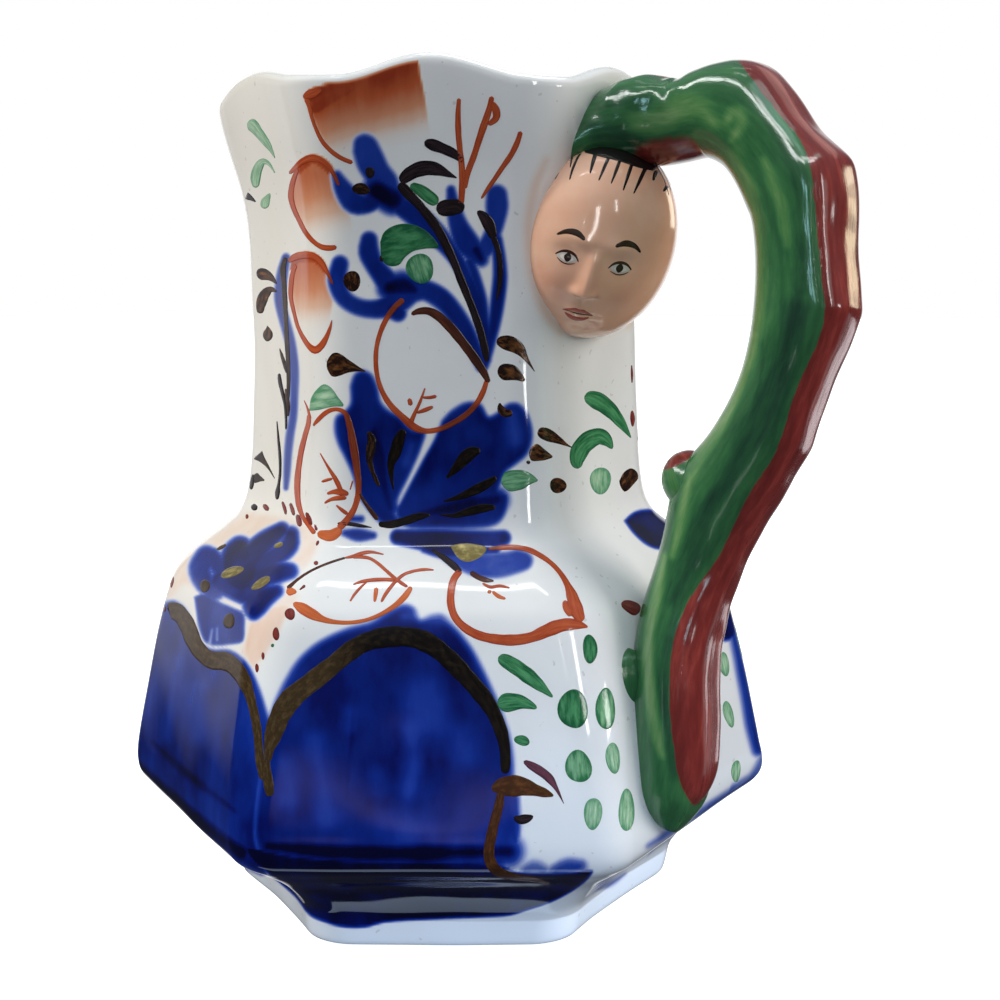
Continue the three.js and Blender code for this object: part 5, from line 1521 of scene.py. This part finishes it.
for k, (col, mapper, step, flat, w) in enumerate(head_ink):
    sc_ = 100.0 if mapper is on_face else 1.0
    path = stroke_path(pairs(flat) * sc_, np.array(w) * sc_, step * sc_)
    L_ = np.concatenate([[0], np.cumsum(np.hypot(*np.diff(path[:, :2], axis=0).T))])
    w_ = path[:, 2].copy()
    for d_, we in ((L_, w_[0]), (L_[-1] - L_, w_[-1])):
        w_ = np.where(d_ < we, w_ * np.sqrt(np.clip(1 - ((we - d_) / we) ** 2, 0.004, 1)), w_)
    tan = np.gradient(path[:, :2], axis=0)
    tan /= np.linalg.norm(tan, axis=1, keepdims=True)
    a_ = np.sin(np.linspace(-1, 1, 5) * math.pi / 2)
    g = (path[:, None, :2] + np.stack([-tan[:, 1], tan[:, 0]], -1)[:, None, :] * (w_[:, None] * a_[None, :])[..., None]) / sc_
    hits = [mapper(*p) for p in g.reshape(-1, 2)]
    keep = np.array([all(h is not None for h in hits[i * 5:i * 5 + 5]) for i in range(len(path))])
    if keep.sum() < 3:
        continue
    rows = np.where(keep)[0]
    hits = [h for i in rows for h in hits[i * 5:i * 5 + 5]]
    pts, nor = np.array([h[0] for h in hits]), np.array([h[1] for h in hits])
    R_ = len(rows)
    ii, jj = np.meshgrid(np.arange(R_ - 1), np.arange(4), indexing="ij")
    quads = np.stack([ii * 5 + jj, ii * 5 + jj + 1, (ii + 1) * 5 + jj + 1, (ii + 1) * 5 + jj], -1).reshape(-1, 4)
    e = np.zeros((R_, 5), bool)
    e[0], e[-1], e[:, 0], e[:, -1] = True, True, True, True
    head_mark(col, pts, nor, e.reshape(-1), quads, np.tile(a_, R_), np.repeat(L_[rows], 5), 0.045, (k * 0.61803) % 1)
face_paint = make_mesh("head_brushwork", np.vstack(hl.v), np.vstack(hl.f), None,
                       {"tint": np.vstack(hl.at["tint"]), "thin": np.vstack(hl.at["thin"]), "across": np.concatenate(hl.at["across"]),
                        "along": np.concatenate(hl.at["along"]), "rim": np.concatenate(hl.at["rim"]), "seed": np.concatenate(hl.at["seed"])})
face_paint.data.materials.append(m_enamel)
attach(face_paint, "root")

# ---------------------------------------------------------------- light, floor, camera
# White paper, lit from below like a light table.
fmat, fnt, fb = nodes_of("floor_paper")
paper = ramp(fnt, noise(fnt, 6, 2, 0.5), [(0.3, (0.885, 0.925, 0.975)), (0.7, (0.90, 0.94, 0.985))])
fnt.links.new(paper, fb.inputs["Base Color"])
fb.inputs["Roughness"].default_value = 0.8
fb.inputs["Specular IOR Level"].default_value = 0.1
fb.inputs["Emission Color"].default_value = (0.80, 0.80, 0.80, 1.0)
fb.inputs["Emission Strength"].default_value = 1.0
bpy.ops.mesh.primitive_plane_add(size=6.0, location=(0, 0, 0))
ground = bpy.context.object
ground.name = "ground"
ground.data.materials.append(fmat)
ground.visible_glossy = False
ground.visible_diffuse = False
ground.visible_shadow = False


def area(name, az, el, dist, w, h, power, colour=(1, 1, 1), target=(-0.0125, 0, 0.075), soft=True, shine=True):
    light = bpy.data.lights.new(name, "AREA")
    light.shape = "RECTANGLE"
    light.size, light.size_y = w, h
    light.energy = power
    light.color = colour
    ob = bpy.data.objects.new(name, light)
    a, e = math.radians(az), math.radians(el)
    t = Vector(target)
    ob.location = t + Vector((math.cos(a) * math.cos(e), math.sin(a) * math.cos(e), math.sin(e))) * dist
    ob.rotation_euler = (t - ob.location).to_track_quat("-Z", "Y").to_euler()
    ob.visible_diffuse = soft
    ob.visible_glossy = shine
    ob.visible_camera = False
    bpy.context.scene.collection.objects.link(ob)
    return ob


def only(ob, *pieces):
    """Keeps a light to these pieces."""
    col = bpy.data.collections.new("lit_by_" + ob.name)
    for p in pieces:
        col.objects.link(p)
    ob.light_linking.receiver_collection = col


# broad light
area("soft_left", -148, 18, 1.2, 0.50, 0.50, 9.4, (1.0, 0.90, 0.74), shine=False)
area("soft_right", 30, 19, 1.2, 0.75, 0.75, 10.5, (1.0, 0.95, 0.87), shine=False)
area("soft_front", -72, 22, 1.2, 0.70, 0.70, 2.1, (0.95, 0.98, 1.0), shine=False)
low = area("soft_low", -58, 5, 0.55, 0.10, 0.05, 0.010, (0.66, 0.82, 1.0), target=(0.0125, -0.04, 0.006), shine=False)
low.data.spread = math.radians(16)
area("soft_floor", -60, -89, 0.12, 1.6, 1.6, 2.7, (0.80, 0.90, 1.0), shine=False)      # light coming back off the paper
sun_data = bpy.data.lights.new("sky_soft", "SUN")
sun_data.energy = 2.0
sun_data.color = (0.87, 0.955, 1.0)
sun_data.angle = math.radians(80)
sun = bpy.data.objects.new("sky_soft", sun_data)
sun.rotation_euler = Vector((-math.cos(math.radians(-105)) * 0.17, -math.sin(math.radians(-105)) * 0.17, -0.98)).to_track_quat("-Z", "Y").to_euler()
sun.visible_glossy = False
bpy.context.scene.collection.objects.link(sun)
# windows seen in the glaze
area("window_right", 12, 3, 1.1, 0.20, 0.13, 0.9, (1.0, 0.99, 0.97), soft=False)
area("window_side", -29, 14, 1.1, 0.10, 0.46, 1.6, (1.0, 0.99, 0.97), soft=False)
area("window_front", -50, 16, 1.3, 0.010, 0.20, 0.11, (1.0, 1.0, 1.0), soft=False)
area("window_top", -75, 79, 1.2, 0.50, 0.045, 0.50, (0.97, 0.98, 1.0), soft=False)
area("window_top_b", 105, 80, 1.2, 0.46, 0.030, 0.20, (0.97, 0.98, 1.0), soft=False)
only(area("window_rim", 100, 66, 1.2, 0.70, 0.60, 6.0, (0.97, 0.98, 1.0), soft=False), neck)
hip_glow = area("window_hip", -60, -88, 0.5, 0.46, 0.125, 0.14, (0.60, 0.76, 1.0), soft=False)
hip_glow.data.shape = "ELLIPSE"
only(hip_glow, belly)
only(area("soft_foot", 6, 6, 0.6, 0.22, 0.10, 2.0, (0.76, 0.86, 1.0), target=(0.0, 0.0, 0.004), shine=False), foot)
for k, (az, el, w, h, power) in enumerate(((-64.5, -3.0, 0.26, 0.05, 0.0035), (-64.0, -2.8, 0.35, 0.09, 0.0085), (-64.0, -2.4, 0.44, 0.14, 0.0155))):
    card = area("card_front_%d" % k, az, el, 1.2, w, h, power, (1.0, 0.76, 0.82), soft=False)
    card.data.shape = "ELLIPSE"
    only(card, belly)
only(area("window_head", -2, 20, 1.1, 0.05, 0.22, 0.35, (1.0, 1.0, 1.0), soft=False), head)
only(area("card_head", 82, 6, 0.46, 0.10, 0.10, 0.075, (1.0, 0.90, 0.72), target=(0.015, 0, 0.115), soft=False), head)
grip = (handle, bud, pad)
GRIP_UP, GRIP_LOW = (0.0535, -0.002, 0.108), (0.038, -0.009, 0.045)
only(area("grip_high_a", -74, 44, 1.2, 0.55, 0.15, 3.4, (1.0, 1.0, 1.0), target=(0.03, 0, 0.13), soft=False), *grip)
only(area("grip_high_b", -108, 47, 1.2, 0.45, 0.15, 2.8, (1.0, 1.0, 1.0), target=(0.03, 0, 0.13), soft=False), *grip)
only(area("grip_high_c", -140, 46, 1.2, 0.42, 0.16, 2.8, (1.0, 1.0, 1.0), target=(0.03, 0, 0.13), soft=False), *grip)
only(area("grip_high_d", -49, 52, 1.2, 0.36, 0.12, 1.4, (1.0, 1.0, 1.0), target=(0.04, 0, 0.125), soft=False), *grip)
only(area("grip_bend", -20, 59, 1.2, 0.62, 0.26, 1.15, (0.66, 1.0, 0.93), target=(0.045, 0, 0.125), soft=False), *grip)
only(area("grip_mid", -18, 10, 1.2, 0.36, 0.50, 0.62, (1.0, 0.97, 0.93), target=GRIP_UP, soft=False), *grip)
for k, (az, el, w, h, power, colour) in enumerate(((70, 7, 0.27, 0.30, 0.52, (1.0, 0.88, 0.62)), (70, 11.5, 0.20, 0.09, 0.085, (1.0, 0.93, 0.70)), (69, 4.0, 0.17, 0.08, 0.065, (1.0, 0.84, 0.52)))):
    only(area("grip_warm_%d" % k, az, el, 1.2, w, h, power, colour, target=GRIP_UP, soft=False), *grip)
only(area("grip_plank", 74, 38, 1.2, 0.66, 0.48, 0.62, (1.0, 0.64, 0.54), target=GRIP_UP, soft=False), *grip)
only(area("grip_rose", 76, -16, 1.2, 0.26, 0.24, 0.31, (1.0, 0.95, 0.98), target=(0.051, -0.003, 0.088), soft=False), *grip)
only(area("grip_low", 61, -16, 1.2, 0.11, 0.34, 0.062, (1.0, 0.95, 0.98), target=GRIP_LOW, soft=False), *grip)
only(area("grip_teal_a", -79, 15, 1.2, 0.075, 0.15, 0.36, (0.50, 0.88, 1.0), target=GRIP_UP, soft=False), *grip)
only(area("grip_teal_b", -69, 13, 1.2, 0.090, 0.15, 0.42, (0.50, 0.88, 1.0), target=GRIP_UP, soft=False), *grip)
only(area("grip_streak", -87, -8, 0.3, 0.022, 0.045, 0.0045, (0.9, 1.0, 0.95), target=(0.045, -0.008, 0.072), soft=False), *grip)

world = bpy.data.worlds.new("room")
bpy.context.scene.world = world
world.use_nodes = True
wn = world.node_tree
bg = wn.nodes["Background"]
gen = wn.nodes.new("ShaderNodeTexCoord").outputs["Generated"]
sep = wn.nodes.new("ShaderNodeSeparateXYZ")
wn.links.new(gen, sep.inputs["Vector"])
dot = wn.nodes.new("ShaderNodeVectorMath")
dot.operation = "DOT_PRODUCT"
dot.inputs[1].default_value = (-math.cos(AL), -math.sin(AL), 0.0)
wn.links.new(gen, dot.inputs[0])
room = ramp(wn, sep.outputs["Z"], [(0.0, (0.020, 0.022, 0.028)), (0.30, (0.06, 0.066, 0.08)), (0.75, (0.30, 0.32, 0.355))])
back = math_node(wn, "MULTIPLY_ADD", dot.outputs["Value"], 10.0, -8.2, clamp=True)
dot2 = wn.nodes.new("ShaderNodeVectorMath")
dot2.operation = "DOT_PRODUCT"
dot2.inputs[1].default_value = (math.cos(math.radians(166)), math.sin(math.radians(166)), 0.0)
wn.links.new(gen, dot2.inputs[0])
beside = math_node(wn, "MULTIPLY_ADD", dot2.outputs["Value"], 22.0, -21.0, clamp=True)
beside = math_node(wn, "MULTIPLY", beside, math_node(wn, "MULTIPLY_ADD", sep.outputs["Z"], 11.0, 2.15, clamp=True))
room = mixrgb(wn, beside, room, (0.46, 0.46, 0.48))
dot3 = wn.nodes.new("ShaderNodeVectorMath")
dot3.operation = "DOT_PRODUCT"
dot3.inputs[1].default_value = (-0.824, 0.352, 0.441)
wn.links.new(gen, dot3.inputs[0])
room = mixrgb(wn, math_node(wn, "MULTIPLY_ADD", dot3.outputs["Value"], 12.0, -11.0, clamp=True), room, (0.27, 0.265, 0.26))
wn.links.new(mixrgb(wn, back, room, (1.0, 1.0, 1.0)), bg.inputs["Color"])
bg.inputs["Strength"].default_value = 1.0

cam_data = bpy.data.cameras.new("camera")
cam_data.sensor_width = 36.0
cam_data.lens = FOCAL / 1000.0 * 36.0
cam_data.clip_start = 0.01
cam_data.dof.use_dof = False
cam = bpy.data.objects.new("camera", cam_data)
bpy.context.scene.collection.objects.link(cam)
rot = Matrix((RIGHT, UP, -FWD)).transposed()
cam.matrix_world = Matrix.Translation(Vector(EYE * MM)) @ rot.to_4x4()
bpy.context.scene.camera = cam
bpy.context.scene.view_settings.view_transform = "Standard"
bpy.context.scene.view_settings.look = "None"

# the poles of the rounded pieces close in one point
for ob in (floor, bud, pad, head):
    bm = bmesh.new()
    bm.from_mesh(ob.data)
    bmesh.ops.remove_doubles(bm, verts=bm.verts, dist=4e-6)
    bm.to_mesh(ob.data)
    bm.free()
